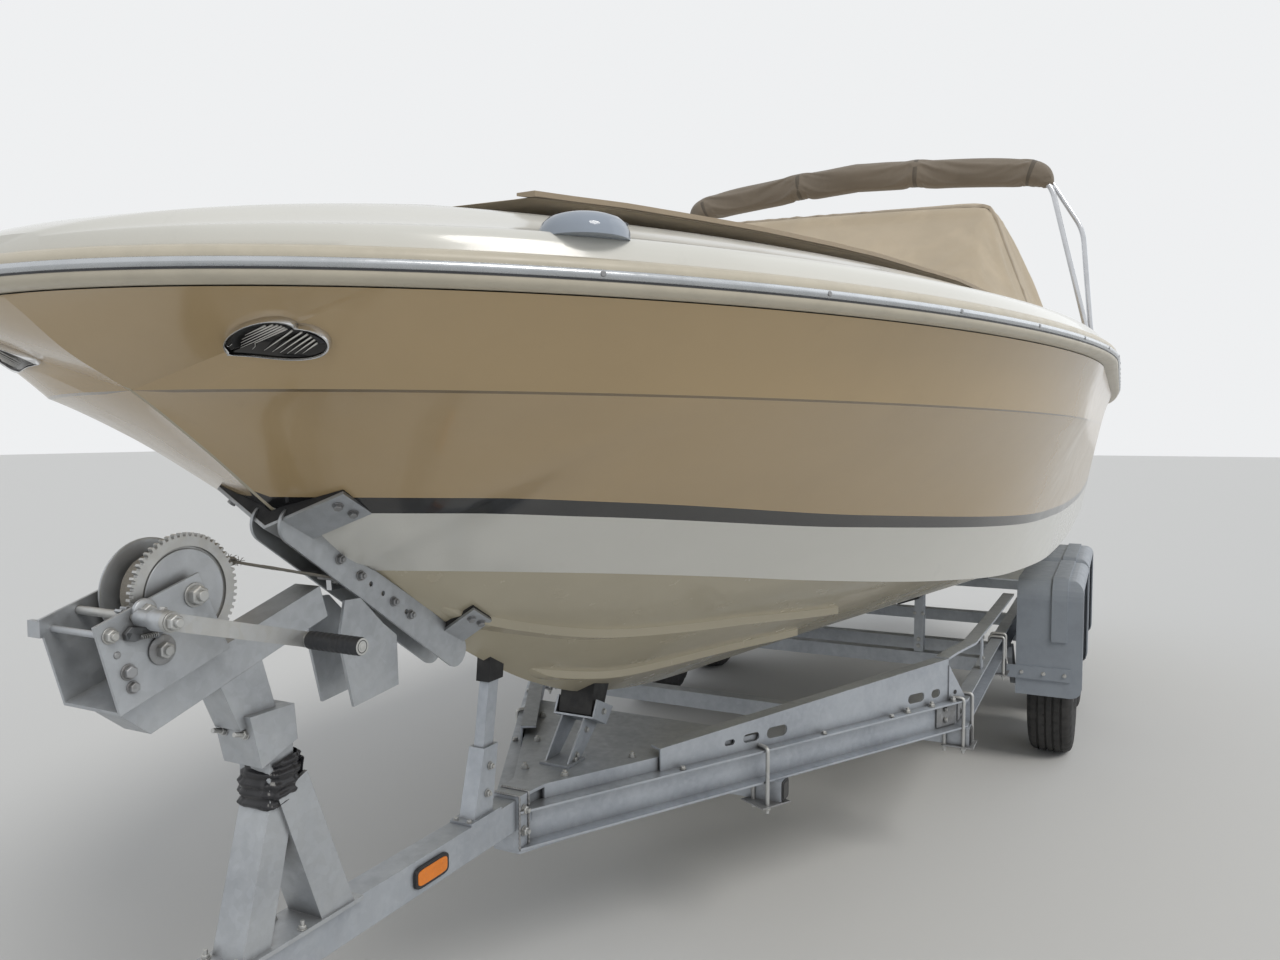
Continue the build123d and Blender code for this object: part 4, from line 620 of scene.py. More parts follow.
# The hull's skin, with its painted bands
def hull_levels(station):
    """Points of the port half-section, from the keel to the sheer, with the name of the band below each."""
    points = []
    stem = chine_y(station) < 0.02
    kz = keel_z(station)
    cy = chine_y(station)
    cz = chine_z(station)
    flat = CHINE_FLAT * min(max((station - 0.62) / 1.9, 0.0), 1)
    ky, kn = knuckle_point(station)
    sy = sheer_breadth(station)
    for i in range(11):
        t = i / 10
        points.append((cy * t, kz + (cz - kz) * t, "cream"))
    points.append((cy + flat, cz, "cream"))
    y0 = cy + flat
    z0 = cz
    reach = max(kn - z0, 1e-5)
    low = min(max((stripe_z(station) - STRIPE_HALF - z0) / reach, 0), 1)
    high = min(max((stripe_z(station) + STRIPE_HALF - z0) / reach, 0), 1)
    if stem and stripe_z(station) + STRIPE_HALF < z0:
        low = 0
        high = 0
    # A thin band just below the knuckle gets the darker tan as painted shade
    knuckle_shade = max(1 - KNUCKLE_SHADE_WIDTH / reach, high)
    shares = [low * k / 4 for k in range(1, 5)] + [high] + [
        high + (knuckle_shade - high) * k / 8
        for k in range(1, 9)
    ] + [1]
    bands = ["white"] * 4 + ["black"] + ["tan"] * 8 + ["knuckle_shade"]
    for t, band in zip(shares, bands):
        points.append((y0 + (ky - y0) * t, z0 + (kn - z0) * t, band))
    hollow = 0.004 * min(station / 0.8, 1)
    for k in range(1, 7):
        t = k / 6
        y = ky + (sy - ky) * t - hollow * sin(pi * t)
        points.append((max(y, 0), kn + (SHEER_Z - kn) * t, "tan"))
    return points


hull_rows = []
hull_bands = None
count = 190
hull_run = [HULL_LENGTH * (i / count) ** 1.6 for i in range(count + 1)]
for station in hull_run:
    levels = hull_levels(station)
    hull_bands = [band for _, _, band in levels]
    hull_rows.append([at(station, y, z) for y, z, _ in levels])
BAND_FINISH = {
    "cream": cream_gelcoat, "white": white_gelcoat, "black": black_stripe, "tan": tan_gelcoat,
    "knuckle_shade": knuckle_shade_gelcoat,
}


def hull_finish(i, j):
    return BAND_FINISH[hull_bands[j + 1]]


hull = Shape()
hull.grid(hull_rows, hull_finish)
hull.grid(mirrored(hull_rows), hull_finish)
hull.close(hull_rows[-1], hull_rows[-1][1:], white_gelcoat)
hull_skin = hull.piece("hull_skin", smooth=14, weld=2e-5, slot="hull_gelcoat")
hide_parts("hull_shell")


def strake_run(rows, side):
    """A lifting strake as a rib on the bottom, with a feathered start and a step at its end."""
    inner_y = smooth_curve(*zip(*rows))
    shape = Shape()
    sections = []
    steps = 44
    for i in range(steps + 1):
        station = rows[0][0] + (rows[-1][0] - rows[0][0]) * i / steps
        y = inner_y(station)
        grow = min(i / 5, 1)
        grow = grow * (2 - grow)
        width = STRAKE_WIDTH * (0.25 + 0.75 * grow)
        drop = STRAKE_DROP * (0.1 + 0.9 * grow)
        zi = bottom_z(station, y - width)
        zo = bottom_z(station, y)
        sections.append([
            at(station, side * (y - width), zi + 0.006),
            at(station, side * (y - width), zi),
            at(station, side * (y - 0.002), zo - drop),
            at(station, side * y, zo - drop + 0.002),
            at(station, side * y, zo + 0.006),
        ])
    shape.grid(sections, cream_gelcoat, around=True, ends=True)
    return shape


for number, rows in enumerate(STRAKES, 1):
    for side, word in ((1, "port"), (-1, "starboard")):
        strake_run(rows, side).piece(f"strake_{word}_{number}", smooth=30, slot="hull_gelcoat")


# The rub rail: a white moulding with a steel insert held by small screws, and a lip of the same moulding
# above it
def sheer_frame(station):
    """A point of the sheer line with its outward direction in plan, on the port side."""
    step = 0.004
    a = at(max(station - step, 0), sheer_breadth(max(station - step, 0)))
    b = at(station + step, sheer_breadth(min(station + step, HULL_LENGTH)))
    run = (b - a).normalized()
    out = Vector((run.y, -run.x, 0))
    if out.y < 0:
        out = -out
    return at(station, sheer_breadth(station), 0), out


def rail_rows(profile, side, steps=150):
    """A profile of outward reach and height, carried along the sheer."""
    rows = []
    for i in range(steps + 1):
        station = HULL_LENGTH * (i / steps) ** 1.8
        place, out = sheer_frame(station)
        if station < 1e-6:
            out = Vector((1, 0, 0))
        row = []
        for reach, z in profile:
            p = place + out * reach
            row.append(Vector((p.x, max(p.y, 0) * side, z)))
        rows.append(row)
    return rows


rail_base = SHEER_Z + 0.002
rail_profile = [
    (-0.004, rail_base), (0.02, rail_base), (0.031, rail_base + 0.004), (0.034, rail_base + 0.012),
    (0.0335, rail_base + 0.016),
]
insert_profile = [
    (0.0335, rail_base + 0.016), (0.0375, rail_base + 0.0175), (0.0395, rail_base + 0.0225),
    (0.0375, rail_base + 0.0275), (0.0335, rail_base + 0.029),
]
upper_profile = [
    (0.0335, rail_base + 0.029), (0.034, rail_base + 0.033), (0.03, rail_base + 0.041),
    (0.02, rail_base + 0.0455),
    (-0.004, rail_base + 0.046),
]
# A dark strip laid along the groove under the insert: painted shade of the groove
groove_shade_profile = [(0.0345, rail_base + 0.0135), (0.0349, rail_base + 0.0152), (0.0345, rail_base + 0.0166)]
rail_cream = moulded("rail_moulding", (0.55, 0.5, 0.4), rough=0.35)
groove_shade_finish = moulded("rail_groove_painted_shade", (0.05, 0.05, 0.055), rough=0.5)
rail = Shape()
for side in (1, -1):
    rail.grid(rail_rows(rail_profile, side), rail_cream)
    rail.grid(rail_rows(insert_profile, side), rail_insert)
    rail.grid(rail_rows(upper_profile, side), rail_cream)
    rail.grid(rail_rows(groove_shade_profile, side), groove_shade_finish)
rail_piece = rail.piece("rub_rail_layers", smooth=50, weld=1e-5, slot="rail_stainless")
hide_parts("rub_rail")

screws = Shape()
screw_stations = [0.36 + 0.3 * k for k in range(21)]
for side in (1, -1):
    for station in screw_stations:
        place, out = sheer_frame(station)
        centre = place + out * 0.039
        centre = Vector((centre.x, centre.y * side, rail_base + 0.0225))
        direction = Vector((out.x, out.y * side, 0))
        screws.lathe(
            [(0, 0), (0.0042, 0), (0.0036, 0.0011), (0.0014, 0.0014), (0, 0.0009)], centre, direction,
            steel_old, 12,
        )
screws.piece("rail_screws", slot="rail_stainless")


# The deck: the moulding's edge, rounded shoulder, coaming and crown
def deck_levels(station):
    breadth = sheer_breadth(station)
    scale = min(breadth / FULL_DECK, 1)
    rail_top = SHEER_Z + RAIL_HEIGHT
    rise = (DECK_EDGE_Z - rail_top) * (0.5 + 0.5 * scale)
    edge = rail_top + rise
    coaming = edge + (COAMING_Z - DECK_EDGE_Z) * scale
    crown = edge + (CROWN_Z - DECK_EDGE_Z) * scale
    points = [(breadth, SHEER_Z + 0.003), (breadth, rail_top - 0.004), (breadth + 0.006 * scale, rail_top)]
    for t in (0.15, 0.35, 0.55, 0.7, 0.82, 0.92, 1.0):
        turn = t * pi / 2
        points.append((
            breadth - DECK_EDGE_IN * scale * (1 - cos(turn)) + 0.004 * (1 - t) * scale,
            rail_top + rise * sin(turn) * 0.985,
        ))
    inner = breadth - DECK_EDGE_IN * scale
    for t in (0.12, 0.3, 0.5, 0.7, 0.86, 1.0):
        y = inner + (breadth - COAMING_IN * scale - inner) * t
        z = edge + (coaming - edge) * (t * t * (3 - 2 * t))
        points.append((y, z))
    for t in (0.25, 0.5, 0.75, 1.0):
        y = (breadth - COAMING_IN * scale) * (1 - t)
        points.append((y, coaming + (crown - coaming) * sin(t * pi / 2)))
    return points


deck_rows = []
for i in range(171):
    station = 0.004 + (HULL_LENGTH - 0.004) * (i / 170) ** 1.6
    deck_rows.append([at(station, max(y, 0), z) for y, z in deck_levels(station)])
deck = Shape()
deck.grid(deck_rows, white_gelcoat)
deck.grid(mirrored(deck_rows), white_gelcoat)
for row in (deck_rows[0], deck_rows[-1]):
    deck.close(row, row[:-1], white_gelcoat)
deck_piece = deck.piece("deck_skin", smooth=40, weld=2e-5, slot="white_gelcoat")
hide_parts("deck_moulding")

# Cloth: a sheet is laid in place with some slack, and a short simulation lets it find its folds
def settle(
    piece, frames, pins, slack, weight=-9.8, pressure=0.0, bending=0.6, tension=22, support=None, gap=0.003
):
    """Runs the cloth for some frames and keeps its last shape. pins weighs each point of the mesh."""
    group = piece.vertex_groups.new(name="pins")
    for index, share in enumerate(pins):
        if share > 0:
            group.add([index], share, "REPLACE")
    scene = bpy.context.scene
    scene.frame_start = 1
    scene.frame_end = frames
    scene.gravity = (0, 0, weight)
    cloth = piece.modifiers.new("cloth", "CLOTH")
    cloth.settings.quality = 5
    cloth.settings.mass = 0.3
    cloth.settings.tension_stiffness = tension
    cloth.settings.compression_stiffness = tension
    cloth.settings.shear_stiffness = tension * 0.4
    cloth.settings.bending_stiffness = bending
    cloth.settings.tension_damping = 10
    cloth.settings.compression_damping = 10
    cloth.settings.air_damping = 2.5
    cloth.settings.vertex_group_mass = "pins"
    cloth.settings.shrink_min = -slack
    if pressure:
        cloth.settings.use_pressure = True
        cloth.settings.uniform_pressure_force = pressure
    cloth.collision_settings.use_collision = support is not None
    cloth.collision_settings.distance_min = gap
    cloth.collision_settings.use_self_collision = False
    if support:
        support.modifiers.new("support", "COLLISION")
        support.collision.thickness_outer = 0.002
        support.collision.cloth_friction = 8
    for frame_number in range(1, frames + 1):
        scene.frame_set(frame_number)
    graph = bpy.context.evaluated_depsgraph_get()
    settled = piece.evaluated_get(graph).to_mesh()
    places = np.empty(len(settled.vertices) * 3)
    settled.vertices.foreach_get("co", places)
    first = np.empty(len(places))
    piece.data.vertices.foreach_get("co", first)
    piece.modifiers.remove(cloth)
    if support:
        bpy.data.objects.remove(support, do_unlink=True)
    scene.frame_set(1)
    scene.gravity = (0, 0, -9.81)
    return first.reshape(-1, 3), places.reshape(-1, 3)


def keep(piece, first, places, most):
    """Puts the settled points back on the piece, none further than a distance from its start."""
    shift = places - first
    length = np.linalg.norm(shift, axis=1)
    scale = np.where(length > most, most / np.maximum(length, 1e-9), 1.0)
    piece.data.vertices.foreach_set("co", (first + shift * scale[:, None]).ravel())
    piece.data.update()
    piece.data.polygons.foreach_set("use_smooth", [True] * len(piece.data.polygons))


def refine(piece):
    fine = piece.modifiers.new("fine", "SUBSURF")
    fine.levels = 1
    fine.render_levels = fine.levels


def plain_mesh(name, rows):
    wide = len(rows[0])
    points = [tuple(p) for row in rows for p in row]
    faces = []
    for i in range(len(rows) - 1):
        for j in range(wide - 1):
            a = i * wide + j
            faces.append((a, a + 1, a + wide + 1, a + wide))
    mesh = bpy.data.meshes.new(name)
    mesh.from_pydata(points, [], faces)
    mesh.transform(Matrix.Translation((0, 0, FRAME_LIFT)))
    item = bpy.data.objects.new(name, mesh)
    bpy.context.scene.collection.objects.link(item)
    return item


def sheet_shape(name, rows, material):
    cloth = Shape()
    cloth.grid(rows, material)
    return cloth.piece(name, weld=0, smooth=180, slot="tan_canvas")


def flat_size(rows):
    """The lengths of a grid across and along its middle, as the cloth was cut."""
    middle = rows[len(rows) // 2]
    across = sum((b - a).length for a, b in zip(middle, middle[1:]))
    column = [row[len(row) // 2] for row in rows]
    along = sum((b - a).length for a, b in zip(column, column[1:]))
    area = 0.0
    for low, high in zip(rows, rows[1:]):
        for j in range(len(low) - 1):
            area += (low[j + 1] - low[j]).cross(high[j] - low[j]).length
    return across, along, area


# Columns: station, half-breadth of the hem, of the shoulder, height of the shoulder and of the middle
COCKPIT_SECTIONS = [
    (1.965, 1.01, 0.9, 1.782, 1.8),
    (2.38, 1.06, 0.93, 2.128, 2.152),
    (2.7, 1.07, 0.935, 2.12, 2.15),
    (3.5, 1.075, 0.88, 2.01, 2.08),
    (4.8, 1.06, 0.84, 1.88, 1.96),
    (5.95, 1.0, 0.82, 1.76, 1.8),
]
HEM_Z = COAMING_Z + 0.006
SIDE_STEPS = 16
TOP_STEPS = 38
RIDGE_STATION = 2.38
COVER_START = 1.968
COVER_END = 5.945


def cockpit_half(station, lower=0.0):
    """Half of the cover's section from the middle out to the hem."""
    hem, shoulder, shoulder_z, middle_z = between(COCKPIT_SECTIONS, station)
    points = []
    for k in range(TOP_STEPS + 1):
        t = k / TOP_STEPS
        points.append((shoulder * t, middle_z + (shoulder_z - middle_z) * t ** 1.6 - lower))
    for k in range(1, SIDE_STEPS + 1):
        t = k / SIDE_STEPS
        points.append(
            (shoulder + (hem - 0.004 - shoulder) * t, shoulder_z + (HEM_Z + 0.018 - shoulder_z) * t - lower)
        )
    points.append((hem - 0.001, HEM_Z - lower))
    return points


def eased_section(station, lower=0.0):
    """The section with the corner at the shoulder taken off."""
    half = cockpit_half(station, lower)
    whole = [(-y, z) for y, z in reversed(half[1:])] + half
    for _ in range(3):
        inner = []
        for a, b, c in zip(whole, whole[1:], whole[2:]):
            inner.append(((a[0] + 2 * b[0] + c[0]) / 4, (a[1] + 2 * b[1] + c[1]) / 4))
        whole = [whole[0]] + inner + [whole[-1]]
    return [at(station, y, z) for y, z in whole]


cockpit_steps = 150
cockpit_stations = [
    COVER_START + (COVER_END - COVER_START) * k / cockpit_steps
    for k in range(cockpit_steps + 1)
]
cockpit_rows = [eased_section(station) for station in cockpit_stations]
for k in range(1, len(cockpit_rows) - 1):
    if abs(cockpit_stations[k] - RIDGE_STATION) < 0.05:
        for p, a, b in zip(cockpit_rows[k], cockpit_rows[k - 1], cockpit_rows[k + 1]):
            p.z = (a.z + b.z + 2 * p.z) / 4
support = plain_mesh("cover_support", [eased_section(station, 0.013) for station in cockpit_stations])
cover = sheet_shape("cockpit_cover_cloth", cockpit_rows, tan_canvas)
cover_wide = len(cockpit_rows[0])
cover_pins = []
tie_pitch = 14
for i, row in enumerate(cockpit_rows):
    for j, point in enumerate(row):
        edge = min(j, cover_wide - 1 - j)
        share = 0.0
        if edge < 2:
            share = 1.0 if (i % tie_pitch < 2 or edge == 0 and i % tie_pitch == 2) else 0.35
        if i < 1 or i > len(cockpit_rows) - 2:
            share = 1.0
        if abs(cockpit_stations[i] - RIDGE_STATION) < 0.03:
            share = max(share, 0.5)
        if i % (tie_pitch * 2) == 7 and abs(j - cover_wide // 2) < 4:
            share = max(share, 0.6)
        cover_pins.append(share)
first, places = settle(
    cover, 22, cover_pins, 0.014, weight=-6, support=support, bending=0.35
)
keep(cover, first, places, 0.022)
refine(cover)
across, along, area = flat_size(cockpit_rows)
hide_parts("cockpit_cover")

# Seams of the cover: doubled strips sewn across it, a hem tape and its ties
settled_points = [v.co - Vector((0, 0, FRAME_LIFT)) for v in cover.data.vertices]


def on_cover(i, j, rise=0.0):
    """A point a little off the settled cloth."""
    i = min(max(i, 1), len(cockpit_rows) - 2)
    j = min(max(j, 1), cover_wide - 2)
    p = settled_points[i * cover_wide + j]
    a = settled_points[i * cover_wide + j + 1] - settled_points[i * cover_wide + j - 1]
    b = settled_points[(i + 1) * cover_wide + j] - settled_points[(i - 1) * cover_wide + j]
    up = a.cross(b).normalized()
    if up.z < 0:
        up = -up
    return p + up * rise


seam_canvas = canvas("seam_canvas", (0.4, 0.32, 0.225), thread=620)
hems = Shape()
row_pitch = cockpit_stations[1] - cockpit_stations[0]
for seam_station in (2.36, 3.42, 4.6):
    i = round((seam_station - cockpit_stations[0]) / row_pitch)
    lines = []
    for rise, step in ((0.0002, -1), (0.0022, -0.6), (0.0024, 0.6), (0.0002, 1)):
        line = []
        for j in range(1, cover_wide - 1):
            near = on_cover(i, j, rise)
            far = on_cover(i + (1 if step > 0 else -1), j, rise)
            line.append(near.lerp(far, min(abs(step) * 0.012 / row_pitch, 1)))
        lines.append(line)
    hems.grid(lines, seam_canvas)
for side_j in (1, cover_wide - 2):
    lines = []
    for rise, step in ((0.0003, 0), (0.0026, 0.3), (0.0026, 1.6), (0.0003, 2)):
        line = []
        for i in range(1, len(cockpit_rows) - 1):
            inner_j = side_j + (1 if side_j == 1 else -1) * int(step + 0.99)
            line.append(on_cover(i, side_j, rise).lerp(on_cover(i, inner_j, rise), min(step / 2, 1)))
        lines.append(line)
    hems.grid(lines, seam_canvas)
cover_hems = hems.piece("cover_seams", weld=0, smooth=60, slot="tan_canvas")

ties = Shape()
for i in range(tie_pitch, len(cockpit_rows) - 2, tie_pitch):
    for j, side in ((0, -1), (cover_wide - 1, 1)):
        start = settled_points[i * cover_wide + j]
        foot_place = Vector((start.x + 0.012, start.y + side * 0.02, COAMING_Z - 0.001))
        ties.tube(
            [
                start + Vector((0, 0, 0.006)), start.lerp(foot_place, 0.5) + Vector((0, 0, 0.004)),
                foot_place,
            ],
            0.003, seam_canvas, 6,
        )
        ties.lathe(
            [(0, 0), (0.009, 0), (0.008, 0.004), (0.004, 0.0065), (0, 0.0068)],
            foot_place + Vector((0, 0, -0.001)), (0, 0, 1), stainless, 14,
        )
ties.piece("cover_ties", slot="tan_canvas")

# The bow cover: a stiffened canvas that stands off the deck, its hem turned down
BOW_COVER_TOP = 1.7775
BOW_COVER_LOW = 1.7635
BOW_COVER_START = 0.422
BOW_COVER_END = 1.958
BOW_BREADTH_AT = [0.42, 0.56, 0.8, 1.1, 1.5, 1.96]


def bow_cover_breadth(station):
    ends = [(s, max(sheer_breadth(s) * 0.93 - 0.13, 0.06)) for s in BOW_BREADTH_AT]
    return between(ends, station)[0]


bow_rows = []
bow_steps = 84
bow_half = 44
for k in range(bow_steps + 1):
    station = BOW_COVER_START + (BOW_COVER_END - BOW_COVER_START) * k / bow_steps
    breadth = bow_cover_breadth(station) - 0.001
    row = []
    for j in range(-bow_half, bow_half + 1):
        t = j / bow_half
        drop = 0.0 if abs(t) < 0.985 else (abs(t) - 0.985) / 0.015
        front = max(1 - k / 1.5, 0)
        z = BOW_COVER_TOP - 0.003 - 0.004 * t * t - 0.009 * max(drop, front)
        row.append(at(station, breadth * t, z))
    bow_rows.append(row)
bow_cloth = sheet_shape("bow_cover_cloth", bow_rows, tan_canvas)
bow_wide = len(bow_rows[0])
bow_pins = []
for i in range(len(bow_rows)):
    for j in range(bow_wide):
        edge = min(j, bow_wide - 1 - j)
        share = 1.0 if edge < 2 or i < 2 or i > len(bow_rows) - 3 else 0.02
        bow_pins.append(share)
first, places = settle(bow_cloth, 16, bow_pins, 0.006, weight=-2, bending=0.4)
keep(bow_cloth, first, places, 0.008)
refine(bow_cloth)
across, along, area = flat_size(bow_rows)
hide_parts("bow_cover")

bow_hem = Shape()
hem_out = 0.0015
for side in (1, -1):
    rows = []
    for k in range(61):
        station = BOW_COVER_START + (BOW_COVER_END - BOW_COVER_START) * k / 60
        y = bow_cover_breadth(station)
        wave = 0.0012 * noise.noise(Vector((station * 9, side, 0.3)))
        rows.append([
            at(station, side * (y - 0.03), BOW_COVER_TOP - 0.0065),
            at(station, side * (y + hem_out - 0.001), BOW_COVER_TOP - 0.0062 + wave),
            at(station, side * (y + hem_out), BOW_COVER_LOW + wave),
            at(station, side * (y - 0.006), BOW_COVER_LOW - 0.0008 + wave),
            at(station, side * (y - 0.03), BOW_COVER_LOW + 0.003),
        ])
    bow_hem.grid(rows, seam_canvas, around=True, ends=True)
bow_hem_piece = bow_hem.piece("bow_cover_hem", weld=0, smooth=50, slot="tan_canvas")

# The furled bimini in its boot: a soft roll drawn in by bands
BOOT_STATION = 4.464
# Columns: distance along the roll from the middle, then its place across, height and half thickness
BOOT_PATH = [
    (0, 0.0, 2.793, 0.0715), (0.45, 0.43, 2.763, 0.07), (0.86, 0.84, 2.717, 0.066),
    (0.96, 0.915, 2.688, 0.055), (1.02, 0.945, 2.65, 0.034), (1.05, 0.95, 2.632, 0.02),
]
BOOT_END = 1.048
BOOT_DEPTH = 0.067
BOOT_BANDS = (-0.9, -0.33, 0.33, 0.9)
BAND_SHARE = 0.974
boot_columns = list(zip(*BOOT_PATH))
boot_y, boot_z, boot_half_height = (smooth_curve(boot_columns[0], column) for column in boot_columns[1:])


def boot_place(run):
    side = 1 if run >= 0 else -1
    return side * boot_y(abs(run)), boot_z(abs(run)), boot_half_height(abs(run))


boot_steps = 220
boot_around = 56
boot_runs = [-BOOT_END + 2 * BOOT_END * k / boot_steps for k in range(boot_steps + 1)]
boot_rows = []
for run in boot_runs:
    y, z, half_height = boot_place(run)
    y2, z2, _ = boot_place(min(run + 0.004, 1.05))
    y1, z1, _ = boot_place(max(run - 0.004, -1.05))
    lean = Vector((0, y2 - y1, z2 - z1)).normalized()
    up = Vector((0, -lean.z, lean.y))
    depth = BOOT_DEPTH * min(1, half_height / 0.06)
    draw = 1.0
    for band in BOOT_BANDS:
        draw -= 0.035 * max(0.0, 1 - abs(run - band) / 0.05) ** 0.7
    row = []
    for m in range(boot_around):
        turn = 2 * pi * m / boot_around
        across_part, up_part = squared_turn(turn, 0.8)
        across_part *= depth * draw
        up_part *= half_height * draw
        lump = 1 + 0.025 * noise.noise(Vector((run * 6, cos(turn) * 1.6, sin(turn) * 1.6)))
        across = Vector((1, 0, 0)) * across_part * lump
        row.append(at(BOOT_STATION, y, z) + across + up * up_part * lump)
    boot_rows.append(row)
boot_shape = Shape()
boot_shape.grid(boot_rows, boot_canvas, around=True, ends=True)
boot = boot_shape.piece("bimini_boot_cloth", "bimini", weld=0, smooth=180, slot="boot_canvas")
boot_pins = []
for run in boot_runs:
    held = 1.0 if min(abs(run - band) for band in BOOT_BANDS) < 0.016 or abs(run) > 1.03 else 0.0
    boot_pins += [held] * boot_around
first, places = settle(
    boot, 18, boot_pins, 0.012, weight=-1.2, pressure=0.8, bending=0.6, tension=20
)
keep(boot, first, places, 0.008)
refine(boot)
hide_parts("bimini_boot")

bands = Shape()
band_web = canvas("band_webbing", (0.15, 0.128, 0.102), thread=1300, depth=0.0002)
for band in BOOT_BANDS:
    rows = []
    for offset in (-0.0125, -0.0105, 0.0105, 0.0125):
        y, z, half_height = boot_place(band + offset)
        y2, z2, _ = boot_place(band + offset + 0.004)
        lean = Vector((0, y2 - y, z2 - z)).normalized()
        up = Vector((0, -lean.z, lean.y))
        grow = 1.0 if abs(offset) < 0.0115 else 0.965
        row = []
        for m in range(48):
            c, v = squared_turn(2 * pi * m / 48, 0.8)
            depth = BOOT_DEPTH * min(1, half_height / 0.06)
            across = Vector((1, 0, 0)) * c * depth * BAND_SHARE * grow
            row.append(at(BOOT_STATION, y, z) + across + up * v * half_height * BAND_SHARE * grow)
        rows.append(row)
    bands.grid(rows, band_web, around=True)
bands.piece("boot_bands", "bimini", weld=0, smooth=60, slot="boot_canvas")

# Winch: hub nuts, bolts, the strap with its hook, and the bound post
WINCH_HUB = (0.127, 1.167)
GEAR_CENTRE = (0.2265, 1.1831)
PLATE_OUT = 0.063
ARM_RUN = (0.9528, 0.3034)
CAM = (0.169, 1.112)
PAWL_PIVOT = (0.141, 1.173)
crank_steel = galvanised("crank_steel", (0.5, 0.52, 0.54), wear=0.5, edge=0.0012)
dark_wrap = moulded("dark_wrap_film", (0.016, 0.016, 0.019), rough=0.3)
grip_rubber = rubber("grip_rubber", (0.028, 0.03, 0.034), rough=0.5)

fasteners = Shape()
for side, thread in ((1, 0.006), (-1, 0.004)):
    hub_place = at(GEAR_CENTRE[0], PLATE_OUT * side, GEAR_CENTRE[1])
    fasteners.bolt(hub_place, (0, side, 0), 0.0165, zinc, thread=thread)
for side in (1, -1):
    fasteners.bolt(at(0.09, PLATE_OUT * side, 1.147), (0, side, 0), 0.0105, zinc, thread=0.004)
fasteners.lathe(
    [(0, 0), (0.022, 0), (0.022, 0.003), (0.018, 0.0045), (0, 0.0045)], at(CAM[0], PLATE_OUT, CAM[1]),
    (0, 1, 0), steel_old, 28,
)
fasteners.bolt(at(CAM[0], PLATE_OUT + 0.0042, CAM[1]), (0, 1, 0), 0.0135, zinc, washer=False, thread=0.004)
fasteners.bolt(at(0.116, PLATE_OUT, 1.091), (0, 1, 0), 0.0105, steel_old)
fasteners.bolt(at(0.122, PLATE_OUT, 1.068), (0, 1, 0), 0.0085, steel_old)
fasteners.lathe(
    [(0, 0), (0.0055, 0), (0.0045, 0.002), (0, 0.0026)], at(0.1, PLATE_OUT, 1.118), (0, 1, 0), steel_old, 14
)
for s in (0.167, 0.262):
    z = 1.0412 + (s - 0.128) * ARM_RUN[1] / ARM_RUN[0]
    fasteners.bolt(at(s, 0.0, z + 0.0068), (-ARM_RUN[1], 0, ARM_RUN[0]), 0.0095, zinc)
fasteners.fitting("winch_bolts")

# The pawl behind the port plate, with its spring and pivot; its cam is made with the winch bolts
pawl = Shape()
pawl.lathe(
    [(0, 0), (0.0185, 0), (0.0185, 0.006), (0.014, 0.0085), (0, 0.0085)],
    at(PAWL_PIVOT[0], PLATE_OUT, PAWL_PIVOT[1]), (0, 1, 0), crank_steel, 28,
)
pawl.bolt(at(PAWL_PIVOT[0], PLATE_OUT + 0.0085, PAWL_PIVOT[1]), (0, 1, 0), 0.0125, zinc, washer=False)
pawl_outline = [
    (0.108, 1.146), (0.118, 1.155), (0.14, 1.151), (0.163, 1.149), (0.169, 1.139), (0.158, 1.131),
    (0.14, 1.136), (0.122, 1.133), (0.11, 1.137),
]
pawl.prism([at(s, PLATE_OUT + 0.001, z) for s, z in pawl_outline], (0, 0.007, 0), iron)
pawl_spring = []
for k in range(120):
    t = k / 119
    turn = t * 2 * pi * 8
    pawl_spring.append(
        at(0.128 + 0.028 * t, PLATE_OUT + 0.0125 + 0.0032 * sin(turn), 1.139 + 0.0032 * cos(turn))
    )
pawl.tube(pawl_spring, 0.0007, zinc, 6)
pawl.fitting("winch_pawl", bevel=0.0006)

# Crank: the arm's clamped hub, a bolt at its flattened end and the turned grip, all riding on the crank
CRANK_LEAN = radians(16.5)
crank_run = Vector((-cos(CRANK_LEAN), 0, -sin(CRANK_LEAN)))
crank_up = Vector((-sin(CRANK_LEAN), 0, cos(CRANK_LEAN)))
hub_centre = at(WINCH_HUB[0], 0.134, WINCH_HUB[1])
crank = Shape()
crank.lathe(
    [(0, -0.03), (0.0135, -0.03), (0.0155, -0.027), (0.0155, -0.004), (0.0135, -0.0005), (0, -0.0005)],
    hub_centre, (0, 1, 0), crank_steel, 30,
)
crank.lathe(
    [(0, -0.062), (0.0105, -0.062), (0.0115, -0.06), (0.0115, -0.031), (0, -0.031)], hub_centre, (0, 1, 0),
    crank_steel, 24,
)
crank.bolt(hub_centre + Vector((0, 0.008, 0)), (0, 1, 0), 0.0125, zinc, thread=0.006)
crank.bolt(hub_centre + Vector((0, -0.015, 0)) + crank_up * 0.014, crank_up, 0.0062, zinc, washer=False)
grip_start = hub_centre + crank_run * 0.258 + Vector((0, 0.008, 0))
crank.bolt(grip_start + Vector((0, -0.008, 0)), (0, -1, 0), 0.0085, zinc)
crank.fitting("crank_hub", "winch_crank", 0.0006)
grip = Shape()
grip_profile = [(0, 0.0015), (0.0125, 0.0015), (0.0145, 0.004)]
for k in range(9):
    z = 0.01 + k * 0.0105
    grip_profile += [(0.0142, z), (0.0149, z + 0.0025), (0.0149, z + 0.006), (0.0142, z + 0.0085)]
grip_profile += [(0.0148, 0.1075), (0.0138, 0.1115), (0.009, 0.1122), (0.0088, 0.1095), (0, 0.1095)]
grip.lathe(grip_profile, grip_start, (0, 1, 0), grip_rubber, 32)
grip.lathe([(0, 0.109), (0.0062, 0.109), (0.0055, 0.1125), (0, 0.1132)], grip_start, (0, 1, 0), zinc, 16)
grip.piece("crank_grip", "winch_crank", smooth=40, slot="zinc_plate")

